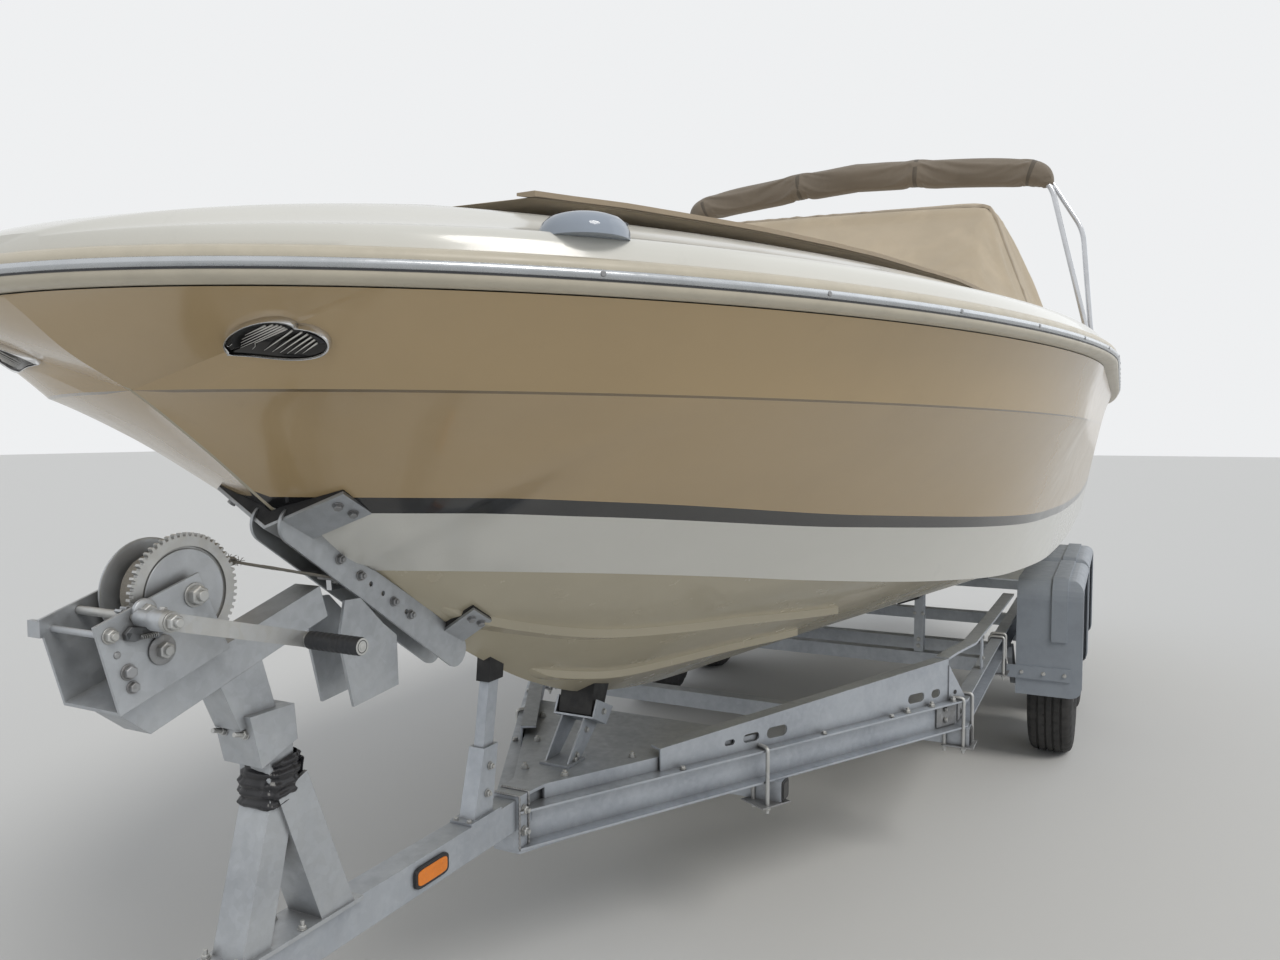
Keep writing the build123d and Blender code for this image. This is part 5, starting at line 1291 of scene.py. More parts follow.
# The pinion's teeth mesh with the gear
pinion = Shape()
pinion_points = []
for tooth in range(7):
    for share, radius in ((0.05, 0.0078), (0.3, 0.0078), (0.42, 0.0128), (0.78, 0.0128), (0.92, 0.0078)):
        turn = 2 * pi * (tooth + share) / 7 + 0.9
        pinion_points.append((WINCH_HUB[0] + radius * cos(turn), WINCH_HUB[1] + radius * sin(turn)))
pinion.prism([at(s, 0.0335, z) for s, z in pinion_points], (0, 0.014, 0), crank_steel)
pinion.fitting("pinion_teeth", "winch_crank")

# The drum's face ring and its turned flanges
drum_trim = Shape()
gear_origin = at(GEAR_CENTRE[0], 0, GEAR_CENTRE[1])
drum_trim.lathe(
    [(0.061, 0.0), (0.0675, 0.0), (0.0685, 0.0012), (0.0675, 0.0024), (0.061, 0.0024)],
    gear_origin + Vector((0, 0.0412, 0)), (0, 1, 0), crank_steel, 64,
)
drum_trim.lathe(
    [(0.0, 0.0), (0.0225, 0.0), (0.0225, 0.0025), (0.014, 0.0095), (0.0, 0.0095)],
    gear_origin + Vector((0, 0.0415, 0)), (0, 1, 0), crank_steel, 40,
)
drum_trim.lathe(
    [(0.074, 0.0), (0.08, 0.0), (0.0815, 0.0018), (0.0815, 0.0035), (0.0785, 0.0044), (0.074, 0.0044)],
    gear_origin + Vector((0, -0.0443, 0)), (0, 1, 0), crank_steel, 64,
)
drum_trim.piece("drum_rims", "winch_drum", smooth=40, slot="zinc_plate")

# The strap: rolled in layers on the drum, and drawn tight to the bow eye
STRAP_HALF = 0.025
ROLL_R = 0.06
roll = Shape()
roll_rows = []
turns = 9
for k in range(turns * 40 + 1):
    angle = 2 * pi * k / 40
    radius = 0.0195 + (ROLL_R - 0.0006 - 0.0195) * k / (turns * 40)
    drift = 0.0012 * sin(angle * 0.37) + 0.0008 * sin(angle * 1.9)
    c = cos(angle)
    v = sin(angle)
    row = []
    for y, r in (
        (-STRAP_HALF + drift, radius), (STRAP_HALF + drift, radius), (STRAP_HALF + drift, radius + 0.0028),
        (-STRAP_HALF + drift, radius + 0.0028),
    ):
        row.append(at(GEAR_CENTRE[0] + r * c, y, GEAR_CENTRE[1] + r * v))
    roll_rows.append(row)
roll.grid(roll_rows, strap_weave, around=True, ends=True)
roll_piece = roll.piece("strap_layers", "winch_drum", smooth=40, weld=0, slot="strap_webbing")
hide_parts("strap_roll")

strap_from = at(0.2418, 0, 1.2422)
strap_to = at(0.5645, 0, 1.1585)
strap_run = (strap_to - strap_from).normalized()
strap_up = Vector((-strap_run.z, 0, strap_run.x)) * -1
strap = Shape()
strap_rows = []
strap_steps = 90
for k in range(strap_steps + 1):
    t = k / strap_steps
    pinch = 1 - 0.62 * max(0, 1 - abs(t - 0.3) / 0.1) ** 0.8 - 0.25 * max(0, (t - 0.85) / 0.15)
    centre = strap_from.lerp(strap_to, t)
    row = []
    for way, lift in ((1, 0.0014), (-1, -0.0014)):
        for m in range(13):
            u = (m / 12 * 2 - 1) * way
            fold = 0.0016 * sin(u * 9 + t * 22) * (1.2 - pinch)
            wave = fold + 0.0004 * noise.noise(Vector((t * 40, u * 4, 0)))
            row.append(centre + Vector((0, u * STRAP_HALF * pinch, 0)) + strap_up * (wave + lift))
    strap_rows.append(row)
strap.grid(strap_rows, strap_weave, around=True, ends=True)
knot = strap_from.lerp(strap_to, 0.3)
for side, reach in ((1, 0.9), (-1, 0.7), (1, -0.8), (-1, -1.0)):
    loop = []
    for k in range(15):
        a = k / 14 * pi
        ahead = strap_run * (0.012 * reach * cos(a))
        aside = Vector((0, side * 0.012 * sin(a), 0))
        loop.append(knot + ahead + aside + strap_up * (0.006 * sin(a) * reach))
    strap.tube(loop, 0.0042, strap_weave, 8, flat=0.55)
random.seed(11)
for k in range(46):
    base = knot + strap_run * random.uniform(-0.02, 0.02) + Vector((0, random.uniform(-0.014, 0.014), 0))
    away = Vector((random.uniform(-1, 1), random.uniform(-1, 1), random.uniform(-0.6, 1))).normalized()
    reach = random.uniform(0.006, 0.018)
    strap.tube(
        [base, base + away * reach * 0.6, base + away * reach + Vector((0, 0, -0.002))], 0.0005,
        strap_weave, 5,
    )
strap_piece = strap.piece("winch_strap_tight", smooth=50, weld=0, slot="strap_webbing")

# The hook through the bow eye, with its swivel and safety latch
hook = Shape()
eye_centre = at(0.585, 0, 1.1515)
hook.tube(
    [strap_to + Vector((0.004, -0.022, 0)), strap_to + Vector((0.004, 0.022, 0))], 0.0045, steel_old, 12
)
for side in (-1, 1):
    hook.tube(
        [
            strap_to + Vector((0.004, side * 0.0215, 0)), strap_to + Vector((-0.004, side * 0.014, -0.001)),
            strap_to + Vector((-0.009, side * 0.004, -0.001)),
        ],
        0.0035, steel_old, 10,
    )
bend = []
for k in range(25):
    a = radians(-20 + 235 * k / 24)
    bend.append(eye_centre + Vector((0.0125 * cos(a) + 0.004, 0.0125 * sin(a), 0.0006 * k / 24)))
hook.tube(
    [strap_to + Vector((-0.006, 0.002, -0.001))] + bend, [0.0045] * 6 + [0.005] * 14 + [0.004] * 6,
    steel_old, 12,
)
hook.piece("strap_hook", smooth=40, slot="zinc_plate")
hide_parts("winch_strap")

# Post: set screws of the collar, bolts of the foot and black film bound round the leg
post = Shape()
for y in (0.024, -0.026):
    post.bolt(at(0.348, y, 0.93), Vector((0.97, 0, 0.24)), 0.0085, zinc, thread=0.016)
for s, y in ((0.309, 0.036), (0.309, -0.036), (0.45, 0.036), (0.45, -0.036), (0.583, 0.0)):
    post.bolt(at(s, y, 0.5562), (0, 0, 1), 0.0075, zinc, thread=0.008)
post.fitting("post_bolts")

wrap = Shape()
wrap_rows = []
for k in range(29):
    t = k / 28
    z = 0.797 + 0.075 * t
    middle = 0.4125 + 0.008 * t
    row = []
    for m in range(72):
        a = 2 * pi * m / 72
        c = cos(a)
        v = sin(a)
        px, py = squared_turn(a, 0.55)
        half_s = 0.0345 + 0.004 * sin(t * pi)
        half_y = 0.0415 + 0.003 * sin(t * pi)
        lump = 0.0035 * noise.noise(Vector((c * 2.2, v * 2.2, z * 90))) + 0.0025 * noise.noise(
            Vector((c * 6, v * 6, z * 60 + c * 3))
        )
        lump += 0.0022 * sin(t * 26 + 2 * sin(a * 2) + v * 3)
        row.append(at(middle + px * (half_s + lump), py * (half_y + lump), z + 0.012 * px * 0.6))
    wrap_rows.append(row)
wrap.grid(wrap_rows, dark_wrap, around=True)
for k, drop in enumerate((0.05, 0.07, 0.035)):
    tail = []
    for m in range(12):
        t = m / 11
        tail.append(
            at(
                0.445 + 0.02 * t + 0.01 * k, 0.03 - 0.02 * k + 0.006 * sin(t * 5 + k),
                0.855 - drop * t + 0.03 * sin(t * pi),
            )
        )
    wrap.tube(tail, [0.009 * (1 - 0.6 * m / 11) + 0.001 for m in range(12)], dark_wrap, 8, flat=0.25)
wrap.piece("post_binding", smooth=60, weld=0, slot="black_rubber")

# Bow stop: bolt pairs of the rubber blocks and the bolts in the slots of its arm
stop = Shape()
for vertex, reach, width in (
    ((0.415, 0, 1.262), (0.032, 0.15, 0.062), (0.0683, 0.0376)),
    ((0.852, 0, 0.983), (0.005, 0.11, 0.075), (0.063, 0.0347)),
):
    root = at(*vertex)
    across = Vector((-reach[0], reach[1], reach[2]))
    down = Vector((-width[0], 0, -width[1]))
    normal = down.cross(across).normalized()
    if normal.z < 0:
        normal = -normal
    for u, v in ((0.83, 0.28), (0.86, 0.72)):
        place = root + across * u + down * v
        for side in (1, -1):
            here = Vector((place.x, place.y * side, place.z))
            away = Vector((-normal.x, -normal.y * side, -normal.z))
            stop.bolt(here, away, 0.0085, steel_old)
for distance in (0.125, 0.19, 0.3, 0.36):
    s = 0.452 + distance * 0.8165
    z = 1.267 - distance * 0.572
    stop.bolt(at(s, 0.036, z), (0, 1, 0), 0.009, steel_old, thread=0.004)
stop.fitting("stop_bolts")

# Docking lights: a chrome rim round a dark mirror with slanted louvres
def skin_y(station, z):
    """Half-breadth of the hull's side at a height."""
    rows = hull_levels(station)
    for (y0, z0, _), (y1, z1, _) in zip(rows, rows[1:]):
        if z0 <= z <= z1 and z1 > z0:
            return y0 + (y1 - y0) * (z - z0) / (z1 - z0)
    return rows[-1][0]


LAMP_STATION = 0.178
LAMP_Z = 1.553
LAMP_HALF_LENGTH = 0.084
LAMP_HALF_HEIGHT = 0.037
LOUVRE_ANGLE = radians(26)
LOUVRE_GAP = 0.0054
dark_mirror = bright_steel("dark_mirror", (0.07, 0.068, 0.066), rough=0.07)
pale_louvre = moulded("pale_louvre", (0.66, 0.64, 0.6), rough=0.25)
lamps_forward = Shape()
for side in (1, -1):
    centre = at(LAMP_STATION, skin_y(LAMP_STATION, LAMP_Z) * side, LAMP_Z)
    behind = at(LAMP_STATION + 0.04, skin_y(LAMP_STATION + 0.04, LAMP_Z) * side, LAMP_Z)
    above = at(LAMP_STATION, skin_y(LAMP_STATION, LAMP_Z + 0.02) * side, LAMP_Z + 0.02)
    run = (behind - centre).normalized()
    away = run.cross(above - centre).normalized()
    if away.y * side < 0:
        away = -away
    rise = away.cross(run) * (1 if away.cross(run).z > 0 else -1)

    def on_lamp(u, v, w):
        station = LAMP_STATION - run.x * u - rise.x * v
        z = LAMP_Z + run.z * u + rise.z * v
        return at(station, skin_y(station, z) * side, z) + away * w

    rim = []
    for share, w in (
        (0.0, 0.0045), (0.905, 0.0045), (0.92, 0.0078), (0.945, 0.0098), (0.975, 0.0096), (0.995, 0.0065),
        (1.0, 0.0), (1.0, -0.014),
    ):
        row = []
        for k in range(72):
            a = 2 * pi * k / 72
            row.append(
                on_lamp(
                    LAMP_HALF_LENGTH * share * cos(a),
                    (LAMP_HALF_HEIGHT - (1 - share) * 0.04) * (share > 0) * sin(a), w,
                )
            )
        rim.append(row)
    lamps_forward.grid(rim, lambda i, j: dark_mirror if i < 2 else lamp_mirror, around=True)
    for k in range(-6, 6):
        off = (k + 0.5) * LOUVRE_GAP
        ends = []
        for t in np.linspace(-0.07, 0.07, 141):
            u = 0.004 + t * cos(LOUVRE_ANGLE) - off * sin(LOUVRE_ANGLE)
            v = t * sin(LOUVRE_ANGLE) + off * cos(LOUVRE_ANGLE)
            if ((u - 0.006) / 0.054) ** 2 + (v / 0.0272) ** 2 < 1:
                ends.append((u, v))
        if len(ends) < 8:
            continue
        path = [on_lamp(*ends[round(q * (len(ends) - 1) / 6)], 0.0052) for q in range(7)]
        lamps_forward.tube(path, [0.0003 + 0.0011 * q / 6 for q in range(7)], pale_louvre, 8, flat=1.0)
    block_run = [(0.059, 0.0135), (0.0665, 0.0085), (0.0735, 0.0), (0.0755, -0.0045), (0.064, -0.0055)]
    lamps_forward.prism([on_lamp(u, v, 0.004) for u, v in block_run], away * 0.0035, black_plastic)
    glint = [
        on_lamp(-0.0715 + 0.0085 * cos(a), -0.0005 - 0.0098 * sin(a), 0.0052)
        for a in np.linspace(0.55, 3.0, 9)
    ]
    lamps_forward.tube(glint, 0.0006, lamp_mirror, 8)
lamp_piece = lamps_forward.piece("docking_lamps", smooth=40, slot="lamp_chrome")
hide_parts("docking_lights")

# Low dome lights on the bow deck
LENS_STATION = 0.388
LENS_FOOT = 1.7045
DOME_CURVE = [
    (0, -0.02), (0.0625, -0.02), (0.0622, -0.009), (0.058, 0.001), (0.05, 0.0085), (0.038, 0.013),
    (0.022, 0.0158), (0, 0.0168),
]
# The lens is smoked grey; its blue tint is a painted reflection of the sky
smoked_sky_tint = moulded("smoked_lens_sky_tint", (0.3, 0.34, 0.4), rough=0.07, grain=0.00001, speck=0.05)
domes = Shape()
for side in (1, -1):
    foot = at(LENS_STATION, (sheer_breadth(LENS_STATION) - 0.052) * side, LENS_FOOT)
    domes.lathe(DOME_CURVE, foot, (0, 0, 1), smoked_sky_tint, 56)
    slit = [
        foot + Vector((x, 0.0555 * side, z))
        for x, z in ((-0.006, 0.0008), (-0.011, 0.0015), (-0.019, 0.0012), (-0.022, 0.0025))
    ]
    domes.tube(slit, [0.0009, 0.0018, 0.0016, 0.0005], black_plastic, 8)
domes.piece("deck_domes", smooth=50, slot="stainless")

# Trailer: main lines of the frame
RAIL_ROOT = 0.036
RAIL_HALF_GAUGE = 0.813
RAIL_START = 1.215
RAIL_BEND = 2.62
RAIL_SLOPE = atan2(RAIL_HALF_GAUGE - RAIL_ROOT, RAIL_BEND - RAIL_START)
RAIL_TAPER = 0.553
AXLES = (4.18, 4.98)
TYRE_R = 0.325
WHEEL_Y = 1.04
tread_grey = rubber("tread_dust", (0.045, 0.044, 0.043), 0.8, 0.0003)


def on_rail(distance, z, out=0.0, side=1):
    """A point along the angled rail, measured from its start, standing off its web."""
    station = RAIL_START + distance * cos(RAIL_SLOPE) - out * sin(RAIL_SLOPE)
    y = RAIL_ROOT + distance * sin(RAIL_SLOPE) + out * cos(RAIL_SLOPE)
    return at(station, y * side, z)


def rail_y(station):
    """Half-breadth of the rails near and aft of the bend."""
    return RAIL_HALF_GAUGE - max(RAIL_BEND - station, 0) * RAIL_TAPER


def rounded(path, radius=0.008, steps=5):
    """A path with its inner corners turned in arcs."""
    path = [Vector(p) for p in path]
    out = [path[0]]
    for before, corner, after in zip(path, path[1:], path[2:]):
        a = corner + (before - corner).normalized() * min(radius, (before - corner).length * 0.45)
        b = corner + (after - corner).normalized() * min(radius, (after - corner).length * 0.45)
        for k in range(steps + 1):
            t = k / steps
            out.append(a * (1 - t) ** 2 + corner * 2 * t * (1 - t) + b * t * t)
    return out + [path[-1]]


def u_bolt(shape, points, foot, radius=0.006):
    """A bent rod with nuts on a flat plate below the beam."""
    shape.tube(rounded(points, 0.012), radius, zinc, 12)
    for end in (points[0], points[-1]):
        end = Vector(end)
        shape.bolt(Vector((end.x, end.y, foot)), (0, 0, -1), 0.0105, zinc, thread=0.01)


# U-bolts hold each cross beam under the rails, with a washer plate below
BEAM_FOOT = 0.36
PLATE_T = 0.0038
LOOP_TOP = 0.5275
LOOP_OUT = 0.053
LOOP_IN = 0.008
clamps = Shape()
for side in (1, -1):
    distance = (1.834 - RAIL_START) / cos(RAIL_SLOPE)
    loop = [
        on_rail(distance, BEAM_FOOT, LOOP_OUT, side), on_rail(distance, LOOP_TOP, LOOP_OUT, side),
        on_rail(distance, LOOP_TOP, -LOOP_IN, side), on_rail(distance, BEAM_FOOT, -LOOP_IN, side),
    ]
    u_bolt(clamps, loop, BEAM_FOOT)
    corners = [
        on_rail(distance - 0.03, BEAM_FOOT, 0.068, side), on_rail(distance + 0.075, BEAM_FOOT, 0.068, side),
        on_rail(distance + 0.075, BEAM_FOOT, -0.026, side),
        on_rail(distance - 0.03, BEAM_FOOT, -0.026, side),
    ]
    clamps.prism(corners, (0, 0, PLATE_T), steel_old)
    for station in (2.625, 3.7, 6.1):
        for gap in (-0.037, 0.037):
            s = station + gap
            inner = rail_y(s)
            y0 = (inner + LOOP_OUT) * side
            y1 = (inner - LOOP_IN) * side
            u_bolt(
                clamps,
                [at(s, y0, BEAM_FOOT), at(s, y0, LOOP_TOP), at(s, y1, LOOP_TOP), at(s, y1, BEAM_FOOT)],
                BEAM_FOOT,
            )
        y0 = (RAIL_HALF_GAUGE - 0.03) * side
        y1 = (RAIL_HALF_GAUGE + 0.07) * side
        clamps.block(station - 0.05, station + 0.05, y0, y1, BEAM_FOOT, BEAM_FOOT + PLATE_T, steel_old)
clamps.fitting("rail_clamps")

# Plugs in the open ends of the cross beams
plugs = Shape()
for station in (1.87, 2.625, 3.7, 6.1):
    reach = min(
        RAIL_ROOT + (RAIL_HALF_GAUGE - 0.03) * (station - RAIL_START) / (RAIL_BEND - RAIL_START),
        RAIL_HALF_GAUGE,
    ) + 0.054
    for side in (1, -1):
        face = Vector((0, side, 0))
        for half, depth in ((0.0295, 0.0035), (0.024, 0.0055)):
            ring = []
            for k in range(24):
                c, v = squared_turn(2 * pi * k / 24, 0.35)
                ring.append(at(station + half * c, reach * side, 0.394 + half * v))
            plugs.prism(ring, face * depth, black_plastic, taper=0.97)
plugs.piece("beam_plugs", slot="black_rubber")

# Fish plates, bolts and upright fins where the rails bend
FISH_LOW = 0.434
FISH_TOP = 0.51
FLANGE_TOP = 0.5205
PLATE_OFF = 0.0065
joints = Shape()
for side in (1, -1):
    for distance in (1.33, 1.45, 1.56):
        joints.bolt(on_rail(distance, FLANGE_TOP, 0.03, side), (0, 0, 1), 0.0105, zinc, thread=0.006)
    for s, z in ((2.56, 0.455), (2.56, 0.492), (2.69, 0.455), (2.69, 0.492)):
        y = rail_y(s)
        joints.bolt(at(s, (y + 0.0125) * side, z), (0, side, 0), 0.009, zinc)
    straight = [at(2.632, (RAIL_HALF_GAUGE + PLATE_OFF) * side, z) for z in (FISH_LOW, FISH_TOP)]
    far = [at(2.73, (RAIL_HALF_GAUGE + PLATE_OFF) * side, z) for z in (FISH_TOP, FISH_LOW)]
    joints.prism(straight + far, (0, 0.005 * side, 0), steel_old)
    slanted = [
        on_rail(1.5, FISH_LOW, PLATE_OFF, side), on_rail(1.5, FISH_TOP, PLATE_OFF, side),
        on_rail(1.6, FISH_TOP, PLATE_OFF, side), on_rail(1.6, FISH_LOW, PLATE_OFF, side),
    ]
    away = (on_rail(0, 0, 1, side) - on_rail(0, 0, 0, side)) * 0.005
    joints.prism(slanted, away, steel_old)
    # An upright fin on the rail, with its black plug
    fin = [
        on_rail(1.553, 0.64, 0.012, side), on_rail(1.553, FLANGE_TOP, 0.012, side),
        on_rail(1.64, FLANGE_TOP, 0.012, side),
    ]
    joints.prism(fin, away * 1.2, steel_frame)
    joints.lathe(
        [(0, 0), (0.0075, 0), (0.0075, 0.0012), (0, 0.0012)], on_rail(1.585, 0.545, 0.0185, side), away,
        black_plastic, 20,
    )
    for distance in (0.42, 0.95, 1.25):
        joints.bolt(on_rail(distance, 0.5215, 0.034, side), (0, 0, 1), 0.008, zinc)
    for z in (0.56, 0.64):
        joints.bolt(at(3.0825, (RAIL_HALF_GAUGE + 0.0345) * side, z), (0, side, 0), 0.007, zinc)
joints.piece("rail_joints", bevel=0.0005, slot="galvanised_steel")

# The sleeve that takes the drawbar into the rails: weld beads and set bolts
sleeve = Shape()
for s in (1.1255, 1.1645):
    corner = 0.0395
    ring = [at(s, -corner, 0.43), at(s, -corner, 0.5575), at(s, corner, 0.5575), at(s, corner, 0.43)]
    bead = []
    for a, b in zip(ring, ring[1:]):
        steps = 40
        for k in range(steps):
            bead.append(a.lerp(b, k / steps))
    bead.append(ring[-1])
    sizes = [0.0028 + 0.0009 * sin(k * 1.7) for k in range(len(bead))]
    sleeve.tube(bead, sizes, steel_old, 8)
for side in (1, -1):
    for z in (0.468, 0.52):
        sleeve.bolt(at(1.1445, 0.0385 * side, z), (0, side, 0), 0.011, zinc, thread=0.007)
for s, y in ((1.3, 0.06), (1.5, 0.15), (1.7, 0.26)):
    for side in (1, -1):
        sleeve.bolt(at(s, y * side, 0.5565), (0, 0, 1), 0.0095, zinc, thread=0.005)
sleeve.piece("sleeve_welds", smooth=45, slot="galvanised_steel")

# Reflectors: an amber prism lens in a black holder
amber_prism = moulded("amber_prism", (0.78, 0.22, 0.02), rough=0.22)
holders = Shape()
for side in (1, -1):
    outline = []
    lens = []
    for reach_s, reach_z, into in ((0.0545, 0.0228, outline), (0.0475, 0.0165, lens)):
        for k in range(40):
            a = 2 * pi * k / 40
            c, _ = squared_turn(a, 0.3)
            _, v = squared_turn(a, 0.42)
            into.append((0.806 + reach_s * c, 0.511 + reach_z * v))
    face = 0.0303
    holders.prism(
        [at(s, face * side, z) for s, z in outline], (0, 0.0068 * side, 0), black_plastic, taper=0.985
    )
    holders.prism(
        [at(s, (face + 0.006) * side, z) for s, z in lens], (0, 0.0024 * side, 0), amber_prism, taper=0.985
    )
    for s in (0.778, 0.806, 0.834):
        for z in (0.503, 0.519):
            holders.lathe(
                [(0, 0), (0.0065, 0), (0.002, 0.0007), (0, 0.0007)], at(s, (face + 0.0083) * side, z),
                (0, side, 0), amber_prism, 6,
            )
holder_piece = holders.piece("reflector_holders", smooth=30, bevel=0.0004, slot="amber_lens")
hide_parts("side_reflectors")

# Tyres: a ribbed tread with cross cuts and a moulded side
def tyre_profile():
    rows = [
        (0.1785, -0.0815, 0), (0.189, -0.089, 0), (0.2045, -0.0935, 0), (0.206, -0.0945, 0),
        (0.222, -0.0955, 0),
        (0.236, -0.0968, 0), (0.2375, -0.0975, 0), (0.242, -0.0975, 0), (0.2435, -0.0968, 0),
        (0.262, -0.0965, 0),
        (0.281, -0.0945, 0), (0.2985, -0.0905, 1), (0.3095, -0.0855, 1), (0.3175, -0.0765, 1),
        (0.3215, -0.0675, 1),
        (0.323, -0.056, 1), (0.3235, -0.0535, 0), (0.3165, -0.052, 0), (0.3165, -0.0455, 0),
        (0.3242, -0.044, 0),
        (0.3247, -0.0315, 2), (0.3247, -0.0215, 2), (0.3245, -0.0198, 0), (0.317, -0.0185, 0),
        (0.317, -0.0122, 0),
        (0.3248, -0.0108, 0), (0.325, 0.0, 2),
    ]
    return rows + [(r, -y, cut) for r, y, cut in reversed(rows[:-1])]


def wheel_dress(number, station, side, word):
    """The tyre with its tread, and the nuts, cap and valve of its wheel."""
    profile = tyre_profile()
    around = 216
    rows = []
    for k in range(around + 1):
        turn = 2 * pi * k / around
        row = []
        for r, y, cut in profile:
            phase = (k + (2 if y > 0 else 0)) % 6
            depth = 0.0042 if cut == 1 and phase in (0, 1) else 0.0048 if cut == 2 and phase == 3 else 0.0
            radius = r - depth
            row.append(at(station + radius * cos(turn), (WHEEL_Y + y) * side, TYRE_R + radius * sin(turn)))
        rows.append(row)
    body = f"wheel_{word}_{number}"
    tyre = Shape()
    tyre.grid(rows, lambda i, j: tread_grey if 12 < j < 40 else tyre_rubber, around=True)
    tyre_piece = tyre.piece(f"tread_{word}_{number}", body, smooth=28, weld=2e-6, slot="tyre_rubber")
    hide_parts(f"tyre_{word}_{number}")
    trim = Shape()
    out = Vector((0, side, 0))
    for k in range(5):
        a = 2 * pi * k / 5
        centre = at(station + 0.056 * cos(a), (WHEEL_Y + 0.0555) * side, TYRE_R + 0.056 * sin(a))
        trim.lathe([(0, 0), (0.0125, 0), (0.0105, 0.004), (0, 0.004)], centre, out, zinc, 20)
        trim.bolt(centre + out * 0.003, out, 0.0105, zinc, washer=False, thread=0.003)
    cap = [
        (0, 0), (0.0435, 0), (0.0435, 0.003), (0.039, 0.005), (0.0365, 0.0075), (0.033, 0.0105),
        (0.02, 0.0125), (0, 0.0125),
    ]
    trim.lathe(cap, at(station, (WHEEL_Y + 0.0765) * side, TYRE_R), out, black_plastic, 40)
    valve = at(station + 0.14, (WHEEL_Y + 0.028) * side, TYRE_R)
    trim.lathe(
        [(0, 0), (0.0055, 0), (0.0042, 0.012), (0.0042, 0.026), (0.0036, 0.029), (0, 0.029)], valve,
        Vector((0.55, 0.84 * side, 0)), black_rubber, 16,
    )
    trim.fitting(f"wheel_trim_{word}_{number}", body)


for number, station in enumerate(AXLES, 1):
    wheel_dress(number, station, 1, "port")
    wheel_dress(number, station, -1, "starboard")

# Mudguards: bolts through the brackets at both ends of the pair
guards = Shape()
for side in (1, -1):
    for end, away in ((AXLES[0] - 0.4063, 1), (AXLES[1] + 0.4023, -1)):
        for y in (0.93, 1.02, 1.105):
            guards.bolt(at(end, y * side, 0.358), (away, 0, 0), 0.008, zinc)
guards.fitting("guard_bolts")

# Bunk posts: coach bolts through the tilted saddles under the timbers
saddles = Shape()
for side in (1, -1):
    for station in (3.7, 6.1):
        for z in (0.452, 0.482):
            saddles.bolt(at(station - 0.0255, 0.5 * side, z), (1, 0, 0), 0.0085, zinc)
        for y in (0.482, 0.518):
            saddles.bolt(at(station - 0.0255, y * side, 0.6), (1, 0, 0), 0.007, zinc)
saddles.fitting("bunk_bolts")

# Keel supports: bolts of the cradle and of the front post
keel = Shape()
for side in (1, -1):
    for s, z in ((1.452, 0.628), (1.4, 0.575), (1.388, 0.566)):
        keel.bolt(at(s, 0.0362 * side, z), (0, side, 0), 0.0075, zinc)
    keel.bolt(at(1.5, 0.0622 * side, 0.668), (0, side, 0), 0.008, zinc)
    keel.bolt(at(1.033, 0.0215 * side, 0.66), (0, side, 0), 0.0085, zinc, thread=0.004)
    keel.bolt(at(1.021, 0.0215 * side, 0.6), (0, side, 0), 0.0085, zinc, thread=0.004)
    keel.bolt(at(0.957, 0.018 * side, 0.5542), (0, 0, 1), 0.006, zinc)
keel.fitting("keel_bolts")

# Light board: lamps with three lenses, a blank plate, and wing bolts
BOARD_STATION = 6.292
BOARD_Z = 0.44
lamps = Shape()
white_lens = moulded("white_lens_plastic", (0.62, 0.62, 0.6), rough=0.12)


def squared(centre, half_y, half_z, power=0.35, count=32):
    """A rounded rectangle that faces aft."""
    ring = []
    for k in range(count):
        c, v = squared_turn(2 * pi * k / count, power)
        ring.append(centre + Vector((0, half_y * c, half_z * v)))
    return ring


for side in (1, -1):
    lamps.prism(
        squared(at(BOARD_STATION, 0.745 * side, BOARD_Z), 0.1045, 0.0495, 0.25), (-0.0195, 0, 0),
        black_plastic,
    )
    for y, wide, finish in (
        (0.812, 0.034, amber_lens), (0.741, 0.034, red_lens), (0.6725, 0.0305, white_lens)
    ):
        lamps.prism(
            squared(at(6.3115, y * side, BOARD_Z), wide, 0.0455, 0.3), (-0.0185, 0, 0), finish, taper=0.93
        )
        for step in range(7):
            z = 0.405 + step * 0.0115
            lamps.tube(
                [at(6.3302, (y - wide * 0.84) * side, z), at(6.3302, (y + wide * 0.84) * side, z)], 0.0013,
                finish, 6,
            )
lamp_piece = lamps.piece("lamp_units", smooth=30, bevel=0.0008, slot="red_lens")
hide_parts("tail_lamps")
board = Shape()
board.prism(squared(at(6.2922, 0, BOARD_Z), 0.26, 0.0545, 0.12), (-0.0022, 0, 0), board_plastic)
for y in (-0.235, 0.235, -0.58, 0.58):
    board.lathe(
        [(0, 0), (0.006, 0), (0.005, 0.002), (0, 0.0028)],
        at(6.2943 if abs(y) < 0.3 else BOARD_STATION, y, BOARD_Z), (-1, 0, 0), zinc, 14,
    )
for side in (1, -1):
    board.bolt(at(6.2795, 0.826 * side, 0.408), (1, 0, 0), 0.009, zinc, thread=0.01)
board.piece("blank_plate", bevel=0.0004, slot="board_plastic")

